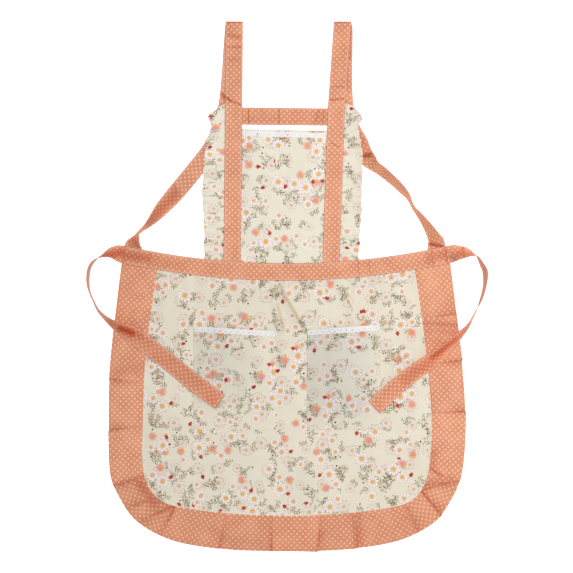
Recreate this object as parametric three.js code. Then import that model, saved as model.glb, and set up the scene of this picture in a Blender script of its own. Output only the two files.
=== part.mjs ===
// Kitchen apron laid flat: a skirt panel with a folded border, a waistband, a bib with side ruffles,
// lace trims, patch pockets, shoulder straps joined by a back bar, and two waist ties.
// Millimetres. As it lies, +X is to the right, +Y towards the shoulder straps and +Z up.

import * as THREE from "three";

const { clamp, lerp, smoothstep, degToRad } = THREE.MathUtils;

// Cloth walls and the room between them
const CLOTH = 1.2;
const GAP = 0.4; // between one layer and the next
const SEAM = 1.2; // between two edges sewn side by side
const LAYER = CLOTH + GAP;
const BAND = 31; // width of the waistband, straps, back bar and ties

// Waistband, an arc that hangs lowest in its middle
const WAIST_HALF = 292; // half its span
const WAIST_SAG = 31.5;
const WAIST_MIDDLE = 25.7; // Y of its middle
const WAIST_STEPS = 24;

// Skirt edge: a row for each section of the border, from the waist to the middle of the hem.
// Half widths and heights of the panel's edge and of the hem, and how far both lie to the right.
const BORDER_SECTIONS = [
  { panelX: 230, panelY: 44, hemX: 294, hemY: 56, drift: 0 },
  { panelX: 240, panelY: -25, hemX: 304, hemY: -25, drift: 0 },
  { panelX: 255, panelY: -150, hemX: 317.5, hemY: -150, drift: 0.5 },
  { panelX: 260, panelY: -255, hemX: 321, hemY: -258, drift: 2.2 },
  { panelX: 258, panelY: -322, hemX: 314.5, hemY: -344, drift: 0 },
  { panelX: 248, panelY: -360, hemX: 297, hemY: -385, drift: 0 },
  { panelX: 222, panelY: -388, hemX: 270.5, hemY: -421, drift: 0 },
  { panelX: 150, panelY: -404, hemX: 211, hemY: -455, drift: 0 },
  { panelX: 65, panelY: -411.5, hemX: 110, hemY: -473, drift: 0 },
  { panelX: 0, panelY: -413.5, hemX: 0, hemY: -476.5, drift: 0 },
];
const CORNER_SHARE = 0.307; // of the panel's edge, from the waist to the middle of a lower corner
const PANEL_COLUMNS = 34;
const PANEL_ROWS = 15;
const PANEL_CROWDING = 1.3; // above 1, columns stand closer in the middle
const PANEL_ROW_CROWDING = 1.6; // above 1, rows stand closer at the waist

// Border folds: where each starts at the panel and ends at the hem, as lengths along those edges
// from the left end of the waist, how high it stands at both, and which side lies on top.
const BORDER_FOLDS = [
  { panel: 124, hem: 130, seamLift: 0.2, hemLift: 1.5, top: "after" },
  { panel: 219, hem: 223, seamLift: 0.2, hemLift: 3, top: "before" },
  { panel: 297, hem: 319, seamLift: 0.2, hemLift: 3, top: "after" },
  { panel: 389, hem: 416, seamLift: 0.6, hemLift: 3, top: "before" },
  { panel: 428, hem: 467, seamLift: 2.4, hemLift: 0.8, top: "after" },
  { panel: 462, hem: 496, seamLift: 2.4, hemLift: 0.8, top: "before" },
  { panel: 471, hem: 545, seamLift: 2.6, hemLift: 0.6, top: "after" },
  { panel: 563, hem: 651, seamLift: 0.4, hemLift: 2.4, top: "before" },
  { panel: 644, hem: 748, seamLift: 0.4, hemLift: 2.8, top: "after" },
  { panel: 732, hem: 828, seamLift: 0.6, hemLift: 3.4, top: "before" },
  { panel: 795, hem: 900, seamLift: 0.6, hemLift: 3.4, top: "before" },
  { panel: 889, hem: 1015, seamLift: 1, hemLift: 0.8, top: "after" },
  { panel: 922, hem: 1067, seamLift: 2.4, hemLift: 2.2, top: "before" },
  { panel: 937, hem: 1139, seamLift: 2.2, hemLift: 3, top: "after" },
  { panel: 1067, hem: 1262, seamLift: 0.2, hemLift: 3, top: "before" },
  { panel: 1157, hem: 1358, seamLift: 0.2, hemLift: 3, top: "after" },
  { panel: 1236, hem: 1440, seamLift: 0.4, hemLift: 2.6, top: "before" },
];
const FOLD_STEP = 4; // length of hem over which a fold drops from its top side to its lower side
const BORDER_PITCH = 24; // length of hem for each column of a flute
const BORDER_ROWS = 3;

// Soft folds that fall from the gathered waist
const WAIST_FOLDS = [
  { topX: -12, topY: 2, footX: 26, footY: -66, lift: 4, reach: 8 },
  { topX: -15, topY: -32, footX: -4, footY: -80, lift: 3, reach: 7 },
  { topX: 104, topY: -6, footX: 119, footY: -44, lift: 3, reach: 7 },
];
const GATHER_FADE = 18; // distance from the waistband over which the folds rise

// Shoulder straps: the front runs up beside the bib, folds over and comes back behind it
const STRAP_TOP = 476.6;
const STRAP_FOOT_GAP = 2.5; // from the waistband's edge to the front's lower end
const STRAP_FRONT_STEPS = 10;
const STRAP_FOLD_STEPS = 5;
const STRAP_BACK_STEPS = 40;
const STRAPS = {
  left: {
    front: [
      { y: 30, x: -97.3 },
      { y: 281, x: -94.5 },
      { y: 477, x: -93 },
    ],
    back: [
      { x: -94.2, y: 464, roll: 0 },
      { x: -106.5, y: 323, roll: 0 },
      { x: -118.5, y: 281, roll: 0 },
      { x: -136.5, y: 245, roll: 0 },
      { x: -163.5, y: 210, roll: 0 },
      { x: -193, y: 174, roll: 6 },
      { x: -212, y: 152, roll: 22 },
      { x: -225, y: 137, roll: 36 },
      { x: -236.5, y: 123, roll: 52 },
      { x: -249.5, y: 109, roll: 69 },
      { x: -259, y: 101, roll: 76 },
      { x: -266.5, y: 94, roll: 74 },
      { x: -270, y: 87, roll: 54 },
      { x: -273, y: 79.5, roll: 32 },
      { x: -274, y: 71.5, roll: 0 },
      { x: -274, y: 55.5, roll: 0 },
    ],
  },
  right: {
    front: [
      { y: 30, x: 80.6 },
      { y: 281, x: 89.1 },
      { y: 323, x: 90.9 },
      { y: 477, x: 101.7 },
    ],
    back: [
      { x: 104.3, y: 464, roll: 0 },
      { x: 106.5, y: 323, roll: 0 },
      { x: 119.5, y: 281, roll: 0 },
      { x: 132.5, y: 258, roll: 0 },
      { x: 143.5, y: 236, roll: 0 },
      { x: 150.5, y: 225.5, roll: 12 },
      { x: 158, y: 217.5, roll: 40 },
      { x: 170, y: 208.5, roll: 50 },
      { x: 196, y: 187, roll: 54 },
      { x: 211, y: 171.5, roll: 63 },
      { x: 218.5, y: 162, roll: 73 },
      { x: 223, y: 153, roll: 81 },
      { x: 226.5, y: 145.5, roll: 83 },
      { x: 230.5, y: 138.5, roll: 81 },
      { x: 236.5, y: 131.5, roll: 77 },
      { x: 246.5, y: 118.5, roll: 70 },
      { x: 256, y: 103.5, roll: 59 },
      { x: 263.5, y: 90.5, roll: 46 },
      { x: 268, y: 84.5, roll: 20 },
      { x: 270.5, y: 77.5, roll: 0 },
      { x: 271, y: 55, roll: 0 },
    ],
  },
};
// The bib's side ruffles and front straps rise by one layer where the back straps pass below
const LIFT_FROM = 138;
const LIFT_TO = 188;

// Bar across the back straps
const BAR_Y_LEFT = 306.5;
const BAR_Y_RIGHT = 304.3;
const BAR_LEFT = -101;
const BAR_RIGHT = 97.5;
const BAR_STEPS = 8;

// Bib panel and its lace
const BIB_TOP_LEFT = 283.6;
const BIB_TOP_RIGHT = 279.6;
const BIB_TUCK = 8; // how far the panel reaches under each front strap
const BIB_STEPS = 8;
const LACE_DEPTH = 10;
const LACE_SCALLOP = 1.6; // depth of the scallops along its lower edge
const LACE_PITCH = 10.5; // about one scallop and one hole for each of these
const LACE_HOLE = 1.7; // radius
const BIB_LACE_DROP = 3.5; // below the bib's top edge

// Side ruffles: a row for each section, with the seam's height and the place of the outer edge
const RUFFLE_TUCK = 5.5; // how far it reaches under the front strap
const RUFFLE_STEPS = 26;
const RUFFLE_ROWS = 4;
const RUFFLES = {
  left: {
    sections: [
      { seamY: 31, edgeX: -147.6, edgeY: 35 },
      { seamY: 118, edgeX: -147.6, edgeY: 118 },
      { seamY: 155, edgeX: -151, edgeY: 156 },
      { seamY: 191, edgeX: -149.5, edgeY: 191 },
      { seamY: 248, edgeX: -143, edgeY: 257 },
      { seamY: 278, edgeX: -135.5, edgeY: 290 },
      { seamY: 293, edgeX: -140.4, edgeY: 305 },
      { seamY: 310, edgeX: -128, edgeY: 317 },
      { seamY: 325, edgeX: -113, edgeY: 327 },
    ],
    folds: [
      { y: 78, lift: 3 },
      { y: 121, lift: 4 },
      { y: 177, lift: 4 },
      { y: 236, lift: 5 },
      { y: 304, lift: 4 },
    ],
  },
  right: {
    sections: [
      { seamY: 29, edgeX: 131, edgeY: 33.5 },
      { seamY: 66, edgeX: 131.6, edgeY: 66 },
      { seamY: 119, edgeX: 135, edgeY: 119 },
      { seamY: 155, edgeX: 136.8, edgeY: 155 },
      { seamY: 238, edgeX: 136.8, edgeY: 242 },
      { seamY: 278, edgeX: 130.6, edgeY: 287 },
      { seamY: 295, edgeX: 136.8, edgeY: 305 },
      { seamY: 312, edgeX: 123, edgeY: 322 },
      { seamY: 327, edgeX: 108, edgeY: 329.5 },
    ],
    folds: [
      { y: 84, lift: 3 },
      { y: 140, lift: 4 },
      { y: 196, lift: 4 },
      { y: 250, lift: 4 },
      { y: 304, lift: 4 },
    ],
  },
};
const RUFFLE_FOLD_REACH = 15; // half width of each fold

// Patch pockets, sewn down at the sides and foot and standing open at the mouth
const POCKETS = {
  left: { left: -166.5, right: -18.7, mouthLeft: -72, mouthRight: -81, foot: -258 },
  right: { left: 37.8, right: 169.2, mouthLeft: -79, mouthRight: -69, foot: -258.5 },
};
const POCKET_RISE = 8; // height of the open mouth
const POCKET_ROWS = 9;
const LACE_INSET = 1.5; // from the ends of the lace to the sides of the bib or pocket

// Waist ties: the middle of the strip as it lies, the height of what is under it and its roll.
// They leave the ends of the waistband, stand on edge in a loop and come back over the skirt.
const TIE_STEPS = 44;
const TIES = {
  left: [
    { x: -303.5, y: 59.3, rest: 1.6, roll: 26 },
    { x: -315.7, y: 59, rest: 1.2, roll: 58 },
    { x: -327.4, y: 54.8, rest: 0.6, roll: 82 },
    { x: -335, y: 51.7, rest: 0, roll: 90 },
    { x: -347, y: 42.8, rest: 0, roll: 100 },
    { x: -353, y: 31.8, rest: 0, roll: 101 },
    { x: -355.3, y: 17, rest: 0, roll: 101 },
    { x: -354.8, y: 2.3, rest: 0, roll: 99 },
    { x: -351.4, y: -12.4, rest: 0, roll: 98 },
    { x: -345, y: -27.2, rest: 0, roll: 98 },
    { x: -337.7, y: -42, rest: 0.6, roll: 100 },
    { x: -329, y: -52.2, rest: 2, roll: 104 },
    { x: -319, y: -61.2, rest: 3.4, roll: 110 },
    { x: -301.6, y: -73.5, rest: 4.6, roll: 128 },
    { x: -281.9, y: -83, rest: 4.6, roll: 154 },
    { x: -262, y: -97, rest: 4.4, roll: 175 },
    { x: -245, y: -109.5, rest: 4, roll: 180 },
    { x: -191, y: -152.5, rest: 6, roll: 180 },
    { x: -153, y: -183, rest: 9.4, roll: 180 },
    { x: -118.5, y: -208, rest: 9.6, roll: 180 },
  ],
  right: [
    { x: 303, y: 59.8, rest: 1.6, roll: 18 },
    { x: 310.7, y: 60.7, rest: 1.4, roll: 35 },
    { x: 322.5, y: 61, rest: 1, roll: 52 },
    { x: 332.8, y: 58.9, rest: 0.6, roll: 72 },
    { x: 343.2, y: 53.8, rest: 0, roll: 90 },
    { x: 351.6, y: 39.2, rest: 0, roll: 100 },
    { x: 356.9, y: 28.8, rest: 0, roll: 103 },
    { x: 357.9, y: 17.1, rest: 0, roll: 102 },
    { x: 357.3, y: 5.2, rest: 0, roll: 98 },
    { x: 354.8, y: -8, rest: 0, roll: 95 },
    { x: 349.2, y: -25.7, rest: 0, roll: 90 },
    { x: 342.1, y: -41.9, rest: 0.6, roll: 86 },
    { x: 334.9, y: -56.6, rest: 1.6, roll: 83 },
    { x: 326.5, y: -71.3, rest: 3, roll: 77 },
    { x: 309.7, y: -90, rest: 4.6, roll: 62 },
    { x: 287.3, y: -111.4, rest: 4.8, roll: 52 },
    { x: 259, y: -134.8, rest: 4.6, roll: 30 },
    { x: 224, y: -160.2, rest: 4.4, roll: 18 },
    { x: 190.5, y: -188.5, rest: 6, roll: 10 },
    { x: 158.5, y: -218, rest: 9, roll: 0 },
  ],
};

// Materials
const COTTON_ROUGHNESS = 0.9;
const dotted = cotton("dotted_cotton", 0xde9c7d);
const floral = cotton("floral_cotton", 0xdccebb);
const lace = cotton("lace", 0xedebe8);

function cotton(name, color) {
  return new THREE.MeshStandardMaterial({ name, color, roughness: COTTON_ROUGHNESS, metalness: 0 });
}

// Height of the middle of a cloth wall that has this many layers below it
function level(layers) {
  return CLOTH / 2 + layers * LAYER;
}

// Evenly spaced values from one number to another, both ends included
function span(from, to, steps) {
  return Array.from({ length: steps + 1 }, (_, i) => lerp(from, to, i / steps));
}

// Value of one column of a table, found by straight lines between the rows of another column
function lookup(rows, column, at, wanted) {
  const next = rows.findIndex((row, i) => i > 0 && (row[column] >= at || i === rows.length - 1));
  const [a, b] = [rows[next - 1], rows[next]];
  return lerp(a[wanted], b[wanted], (at - a[column]) / (b[column] - a[column]));
}

// A smooth curve through three columns of a table
function tableCurve(rows, x, y, z) {
  const curve = new THREE.CatmullRomCurve3(
    rows.map((row) => new THREE.Vector3(row[x], row[y], z ? row[z] : 0)),
  );
  curve.arcLengthDivisions = 800;
  return curve;
}

// Points and triangles of a sheet made of rows of columns, from point(column, row)
function gridSheet(columns, rows, point) {
  const points = rows.flatMap((row) => columns.map((column) => point(column, row)));
  const faces = [];
  for (let j = 0; j + 1 < rows.length; j++) {
    for (let i = 0; i + 1 < columns.length; i++) {
      const a = j * columns.length + i;
      const d = a + columns.length;
      faces.push([a, a + 1, d + 1], [a, d + 1, d]);
    }
  }
  return { points, faces };
}

// A closed wall around a sheet: a skin on each side of it, joined along its open edges
function thicken({ points, faces }) {
  const middle = new THREE.BufferGeometry().setFromPoints(points).setIndex(faces.flat());
  middle.computeVertexNormals();
  const normal = new THREE.Vector3();
  const offset = (distance) =>
    points.map((p, i) =>
      p.clone().addScaledVector(normal.fromBufferAttribute(middle.attributes.normal, i), distance),
    );
  const upper = offset(CLOTH / 2);
  const lower = offset(-CLOTH / 2);
  const openEdges = new Map();
  const corners = [];
  for (const [a, b, c] of faces) {
    corners.push(upper[a], upper[b], upper[c], lower[a], lower[c], lower[b]);
    for (const [from, to] of [[a, b], [b, c], [c, a]]) {
      if (!openEdges.delete(`${to} ${from}`)) openEdges.set(`${from} ${to}`, [from, to]);
    }
  }
  for (const [from, to] of openEdges.values()) {
    corners.push(upper[to], upper[from], lower[from], upper[to], lower[from], lower[to]);
  }
  return new THREE.BufferGeometry().setFromPoints(corners);
}

const apron = new THREE.Group();
apron.name = "kitchen_apron";

function addPiece(name, material, sheet) {
  const mesh = new THREE.Mesh(thicken(sheet), material);
  mesh.name = name;
  apron.add(mesh);
}

// A flat strip through a list of sections, each with its middle and its direction across
function stripSheet(sections) {
  return gridSheet(sections, [-1, 0, 1], ({ middle, across }, side) =>
    middle.clone().addScaledVector(across, (side * BAND) / 2),
  );
}

// Sections of a strip that follows a table of x, y and roll. Its lower edge stays on what is under
// it, so its middle rises as it rolls on edge. turn is 1 or -1 and says which way across points.
function rolledSections(rows, steps, turn, restLevel) {
  const route = tableCurve(rows, "x", "y", "roll");
  const heights = tableCurve(rows, "x", "y", "rest");
  return span(0, 1, steps).map((t) => {
    const at = route.getUtoTmapping(t);
    const { x, y, z: roll } = route.getPoint(at);
    const heading = route.getTangent(at).setZ(0).normalize();
    const rise = degToRad(clamp(roll, 0, 180));
    const across = new THREE.Vector3(heading.y * turn, -heading.x * turn, 0)
      .multiplyScalar(Math.cos(rise))
      .setZ(Math.sin(rise));
    const rest = restLevel ?? heights.getPoint(at).z + CLOTH / 2;
    return { middle: new THREE.Vector3(x, y, rest + (Math.sin(rise) * BAND) / 2), across };
  });
}

// Waistband
const waistRadius = (WAIST_HALF ** 2 + WAIST_SAG ** 2) / (2 * WAIST_SAG);
const waistAngle = Math.asin(WAIST_HALF / waistRadius);

function waistY(x) {
  return WAIST_MIDDLE + waistRadius - Math.sqrt(waistRadius ** 2 - x ** 2);
}

function waistSection(angle) {
  const inward = new THREE.Vector3(-Math.sin(angle), Math.cos(angle), 0);
  const middle = new THREE.Vector3(0, WAIST_MIDDLE + waistRadius, level(1));
  return { middle: middle.addScaledVector(inward, -waistRadius), across: inward };
}

const waistSections = span(-waistAngle, waistAngle, WAIST_STEPS).map(waistSection);
addPiece("waistband", dotted, stripSheet(waistSections));

// Skirt panel: its edges blended across, from the waist to the hem
function borderRow(row, side) {
  return { ...row, panelX: side * row.panelX + row.drift, hemX: side * row.hemX + row.drift };
}

const borderRows = [
  ...BORDER_SECTIONS.map((row) => borderRow(row, -1)),
  ...BORDER_SECTIONS.slice(0, -1).reverse().map((row) => borderRow(row, 1)),
];
const panelEdge = tableCurve(borderRows, "panelX", "panelY");
const hemEdge = tableCurve(borderRows, "hemX", "hemY");
const PANEL_TOP = BORDER_SECTIONS[0].panelX;

// Share of the way across, with the steps closer together in the middle
function crowded(share) {
  const fromMiddle = 2 * share - 1;
  return (1 + Math.sign(fromMiddle) * Math.abs(fromMiddle) ** PANEL_CROWDING) / 2;
}

function foldHeight(fold, x, y) {
  const line = new THREE.Line3(
    new THREE.Vector3(fold.topX, fold.topY, 0),
    new THREE.Vector3(fold.footX, fold.footY, 0),
  );
  const here = new THREE.Vector3(x, y, 0);
  const distance = line.closestPointToPoint(here, true, new THREE.Vector3()).distanceTo(here);
  return fold.lift * Math.exp(-((distance / fold.reach) ** 2));
}

function panelHeight(x, y) {
  const belowBand = waistY(x) - BAND / 2 - y;
  const folds = WAIST_FOLDS.reduce((sum, fold) => sum + foldHeight(fold, x, y), 0);
  return level(0) + folds * smoothstep(belowBand, 0, GATHER_FADE);
}

function panelPoint(column, step) {
  const across = crowded(column);
  const row = step ** PANEL_ROW_CROWDING;
  const topX = lerp(-PANEL_TOP, PANEL_TOP, across);
  const top = new THREE.Vector3(topX, waistY(topX) - SEAM, 0);
  const foot = panelEdge.getPointAt(lerp(CORNER_SHARE, 1 - CORNER_SHARE, across));
  const left = panelEdge.getPointAt(row * CORNER_SHARE);
  const right = panelEdge.getPointAt(1 - row * CORNER_SHARE);
  const cornersTop = panelEdge.getPointAt(0).lerp(panelEdge.getPointAt(1), across);
  const cornersFoot = panelEdge.getPointAt(CORNER_SHARE);
  cornersFoot.lerp(panelEdge.getPointAt(1 - CORNER_SHARE), across);
  const point = top.lerp(foot, row).add(left.lerp(right, across));
  point.sub(cornersTop.lerp(cornersFoot, row));
  return point.setZ(panelHeight(point.x, point.y));
}

addPiece("skirt_panel", floral, gridSheet(span(0, 1, PANEL_COLUMNS), span(1, 0, PANEL_ROWS), panelPoint));

// Skirt border: flutes between the folds, each low in its middle and raised where its side is on top
function borderColumns() {
  const flat = { seamLift: 0, hemLift: 0 };
  const folds = [
    { ...flat, panel: -FOLD_STEP / 2, hem: -FOLD_STEP / 2, top: "before" },
    ...BORDER_FOLDS,
    {
      ...flat,
      panel: panelEdge.getLength() + FOLD_STEP / 2,
      hem: hemEdge.getLength() + FOLD_STEP / 2,
      top: "after",
    },
  ];
  return folds.slice(1).flatMap((end, i) => {
    const start = folds[i];
    const steps = Math.max(2, Math.round((end.hem - start.hem) / BORDER_PITCH));
    return span(0, 1, steps).map((share) => {
      const fromStart = start.top === "after" ? (1 - share) ** 2 : 0;
      const fromEnd = end.top === "before" ? share ** 2 : 0;
      return {
        panel: lerp(start.panel + FOLD_STEP / 2, end.panel - FOLD_STEP / 2, share),
        hem: lerp(start.hem + FOLD_STEP / 2, end.hem - FOLD_STEP / 2, share),
        seamLift: start.seamLift * fromStart + end.seamLift * fromEnd,
        hemLift: start.hemLift * fromStart + end.hemLift * fromEnd,
      };
    });
  });
}

function borderPoint(column, row) {
  const hem = hemEdge.getPointAt(Math.min(column.hem / hemEdge.getLength(), 1));
  const seam = panelEdge.getPointAt(Math.min(column.panel / panelEdge.getLength(), 1));
  seam.addScaledVector(hem.clone().sub(seam).normalize(), SEAM);
  return seam.lerp(hem, row).setZ(level(0) + lerp(column.seamLift, column.hemLift, row));
}

addPiece("skirt_border", dotted, gridSheet(borderColumns(), span(1, 0, BORDER_ROWS), borderPoint));

// Shoulder straps
const foldRadius = (level(2) - level(0)) / 2;
const foldStart = STRAP_TOP - foldRadius - CLOTH / 2;

function liftOverStraps(y) {
  return LAYER * smoothstep(y, LIFT_FROM, LIFT_TO);
}

function strapX(side, y) {
  return lookup(STRAPS[side].front, "y", y, "x");
}

function strapSections(side) {
  const foot = waistY(strapX(side, 0)) + BAND / 2 + STRAP_FOOT_GAP;
  const across = new THREE.Vector3(1, 0, 0);
  const front = span(foot, foldStart, STRAP_FRONT_STEPS).map((y) => ({
    middle: new THREE.Vector3(strapX(side, y), y, level(1) + liftOverStraps(y)),
    across,
  }));
  const foldX = strapX(side, foldStart);
  const fold = span(0, Math.PI, STRAP_FOLD_STEPS)
    .slice(1)
    .map((angle) => ({
      middle: new THREE.Vector3(
        foldX,
        foldStart + foldRadius * Math.sin(angle),
        level(1) + foldRadius * Math.cos(angle),
      ),
      across,
    }));
  const back = rolledSections(STRAPS[side].back, STRAP_BACK_STEPS, -1, level(0));
  return [...front, ...fold, ...back];
}

for (const side of ["left", "right"]) {
  addPiece(`shoulder_strap_${side}`, dotted, stripSheet(strapSections(side)));
}

const barSections = span(0, 1, BAR_STEPS).map((share) => ({
  middle: new THREE.Vector3(
    lerp(BAR_LEFT, BAR_RIGHT, share),
    lerp(BAR_Y_LEFT, BAR_Y_RIGHT, share),
    level(1),
  ),
  across: new THREE.Vector3(0, 1, 0),
}));
addPiece("back_bar", dotted, stripSheet(barSections));

// Bib panel, its sides under the front straps and its foot under the waistband
function bibPoint(column, row) {
  const footX = lerp(strapX("left", 0), strapX("right", 0), column);
  const y = lerp(waistY(footX) + SEAM, lerp(BIB_TOP_LEFT, BIB_TOP_RIGHT, column), row);
  const left = strapX("left", y) + BAND / 2 - BIB_TUCK;
  const right = strapX("right", y) - BAND / 2 + BIB_TUCK;
  return new THREE.Vector3(lerp(left, right, column), y, level(0));
}

addPiece("bib_panel", floral, gridSheet(span(0, 1, BIB_STEPS), span(0, 1, BIB_STEPS), bibPoint));

// Side ruffles: sewn flat under the strap, with folds that open towards the outer edge
function ruffleSheet(side) {
  const { sections, folds } = RUFFLES[side];
  const outward = side === "left" ? -1 : 1;
  const edge = tableCurve(sections, "edgeX", "edgeY", "seamY");
  const columns = span(0, 1, RUFFLE_STEPS);
  const rows = side === "left" ? span(1, 0, RUFFLE_ROWS) : span(0, 1, RUFFLE_ROWS);
  return gridSheet(rows, columns, (row, column) => {
    const { x: edgeX, y: edgeY, z: seamY } = edge.getPointAt(column);
    const seamX = strapX(side, seamY) + outward * (BAND / 2 - RUFFLE_TUCK);
    const y = lerp(seamY, edgeY, row);
    const waves = folds.map((f) => f.lift * Math.exp(-(((y - f.y) / RUFFLE_FOLD_REACH) ** 2)));
    const aboveBand = smoothstep(y - waistY(edgeX) - BAND / 2, 0, GATHER_FADE);
    const rise = row ** 2 * aboveBand * waves.reduce((sum, wave) => sum + wave, 0);
    return new THREE.Vector3(lerp(seamX, edgeX, row), y, level(0) + liftOverStraps(y) + rise);
  });
}

for (const side of ["left", "right"]) {
  addPiece(`bib_ruffle_${side}`, floral, ruffleSheet(side));
}

// Lace: a row of cells, each with a round hole and a scalloped foot. point(along, down) places it.
function laceSheet(length, point) {
  const cells = Math.round(length / LACE_PITCH);
  const pitch = length / cells;
  const notch = LACE_DEPTH - LACE_SCALLOP;
  const bulge = LACE_DEPTH - LACE_SCALLOP / 3;
  const outline = [
    [0, 0],
    [0, notch],
    [pitch / 4, bulge],
    [pitch / 2, LACE_DEPTH],
    [(pitch * 3) / 4, bulge],
    [pitch, notch],
    [pitch, 0],
    [pitch / 2, 0],
  ];
  const [holeX, holeY] = [pitch / 2, LACE_DEPTH / 2];
  const hole = outline.map(([x, y]) => {
    const angle = Math.atan2(y - holeY, x - holeX);
    return [holeX + LACE_HOLE * Math.cos(angle), holeY + LACE_HOLE * Math.sin(angle)];
  });
  const numbers = new Map();
  const points = [];
  const vertex = ([x, y], cell) => {
    const key = `${(x + cell * pitch).toFixed(3)} ${y.toFixed(3)}`;
    if (!numbers.has(key)) {
      numbers.set(key, points.length);
      points.push(point(x + cell * pitch, y));
    }
    return numbers.get(key);
  };
  const faces = [];
  for (let cell = 0; cell < cells; cell++) {
    outline.forEach((corner, i) => {
      const next = (i + 1) % outline.length;
      const [a, b] = [vertex(corner, cell), vertex(outline[next], cell)];
      const [c, d] = [vertex(hole[next], cell), vertex(hole[i], cell)];
      faces.push([a, b, c], [a, c, d]);
    });
  }
  return { points, faces };
}

function bibLacePoint(along, down) {
  const left = strapX("left", BIB_TOP_LEFT) + BAND / 2 + LACE_INSET;
  const share = along / bibLaceLength();
  const top = lerp(BIB_TOP_LEFT, BIB_TOP_RIGHT, share) - BIB_LACE_DROP;
  return new THREE.Vector3(left + along, top - down, level(1));
}

function bibLaceLength() {
  return strapX("right", BIB_TOP_RIGHT) - strapX("left", BIB_TOP_LEFT) - BAND - 2 * LACE_INSET;
}

addPiece("bib_lace", lace, laceSheet(bibLaceLength(), bibLacePoint));

// Pockets: flat along the three sewn sides, pillowed between them and open along the mouth
function pocketPoint(pocket, across, down) {
  const mouth = lerp(pocket.mouthLeft, pocket.mouthRight, across);
  const pillow = (1 - (2 * across - 1) ** 4) * (1 - down ** 3);
  return new THREE.Vector3(
    lerp(pocket.left, pocket.right, across),
    lerp(mouth, pocket.foot, down),
    level(1) + POCKET_RISE * pillow,
  );
}

for (const side of ["left", "right"]) {
  const pocket = POCKETS[side];
  const width = pocket.right - pocket.left;
  const depth = (pocket.mouthLeft + pocket.mouthRight) / 2 - pocket.foot;
  const laceLength = width - 2 * LACE_INSET;
  const columns = span(0, 1, Math.round(width / LACE_PITCH));
  addPiece(
    `pocket_${side}`,
    floral,
    gridSheet(columns, span(1, 0, POCKET_ROWS), (column, row) => pocketPoint(pocket, column, row)),
  );
  const lacePoint = (along, down) => {
    const point = pocketPoint(pocket, (along + LACE_INSET) / width, down / depth);
    return point.setZ(point.z + LAYER);
  };
  addPiece(`pocket_lace_${side}`, lace, laceSheet(laceLength, lacePoint));
}

// Waist ties, starting in line with the ends of the waistband
for (const side of ["left", "right"]) {
  const outward = side === "left" ? -1 : 1;
  const end = waistSection(outward * (waistAngle + SEAM / waistRadius)).middle;
  const start = { x: end.x, y: end.y, rest: LAYER, roll: 0 };
  addPiece(`waist_tie_${side}`, dotted, stripSheet(rolledSections([start, ...TIES[side]], TIE_STEPS, 1)));
}

export default apron;
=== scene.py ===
"""Kitchen apron laid flat: its cloth pieces with their prints, folds, lace and stitching."""

import math
from functools import cached_property, reduce

import bpy
import numpy as np
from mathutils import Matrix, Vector
from mathutils.bvhtree import BVHTree


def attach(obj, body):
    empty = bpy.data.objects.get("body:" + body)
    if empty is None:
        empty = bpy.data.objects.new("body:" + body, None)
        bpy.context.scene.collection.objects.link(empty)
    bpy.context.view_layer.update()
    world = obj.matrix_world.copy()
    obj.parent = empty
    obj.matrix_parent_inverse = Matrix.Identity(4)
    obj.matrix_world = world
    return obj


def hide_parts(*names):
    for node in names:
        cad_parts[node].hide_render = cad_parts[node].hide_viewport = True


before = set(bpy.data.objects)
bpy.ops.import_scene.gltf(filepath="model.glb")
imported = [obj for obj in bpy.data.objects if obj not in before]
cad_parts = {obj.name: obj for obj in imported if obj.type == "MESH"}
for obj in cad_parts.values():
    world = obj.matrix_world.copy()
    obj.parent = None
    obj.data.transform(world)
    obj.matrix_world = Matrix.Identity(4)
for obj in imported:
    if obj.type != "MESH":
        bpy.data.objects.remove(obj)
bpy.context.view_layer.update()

MM = 0.001  # the tables and shapes below are in millimetres, as the apron lies, with +Z up

# View: straight down, from far enough to look almost parallel
PICTURE = 573
MM_PER_PIXEL = 1.8
CAMERA_HEIGHT = 5.0
CAMERA_MIDDLE = (0.0009, -0.0004)
SENSOR = 36.0

# Cloth
COTTON = 0.6  # one layer
BAND_THICK = 0.9  # a band sewn from a folded strip
LACE_THICK = 0.5
BAND = 31  # width of the waistband, straps, back bar and ties
GAP = 0.05  # air between layers that touch
FLOOR_LEVEL = COTTON / 2 + GAP  # middle of a single layer on the floor
BACK_LEVEL = BAND_THICK / 2 + 0.36  # back straps and the middle of the back bar
WAIST_LEVEL = 1.25
WAIST_END_RISE = 1.1  # at the ends, over the ties and the back straps
WAIST_END = 46  # length of that rise
STRAP_LEVEL = 1.2  # front straps, over the bib's edges
STRAP_OVER_BACK = 2.76  # front straps, where a back strap and the bar pass below
STRAP_AT_SHOULDER = 1.86
RUFFLE_RISE = 1.3  # of the ruffles, over the back straps

# Waistband, an arc that hangs lowest in its middle
WAIST_HALF = 292
WAIST_SAG = 31.5
WAIST_MIDDLE = 25.7
WAIST_RADIUS = (WAIST_HALF**2 + WAIST_SAG**2) / (2 * WAIST_SAG)
WAIST_ANGLE = math.asin(WAIST_HALF / WAIST_RADIUS)

# Skirt edge, from the waist to the middle of the hem: half width and y of the panel, half width and y
# of the hem, and how far both lie to the right
BORDER_SECTIONS = [
    (230, 44, 294, 56, 0), (240, -25, 304, -25, 0), (255, -150, 317.5, -150, 0.5),
    (260, -255, 321, -258, 2.2), (258, -322, 314.5, -344, 0), (248, -360, 297, -385, 0),
    (222, -388, 270.5, -421, 0), (150, -404, 211, -455, 0), (65, -411.5, 110, -473, 0),
    (0, -413.5, 0, -476.5, 0),
]
CORNER_SHARE = 0.307  # of the panel's edge, from the waist to the middle of a lower corner

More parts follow.
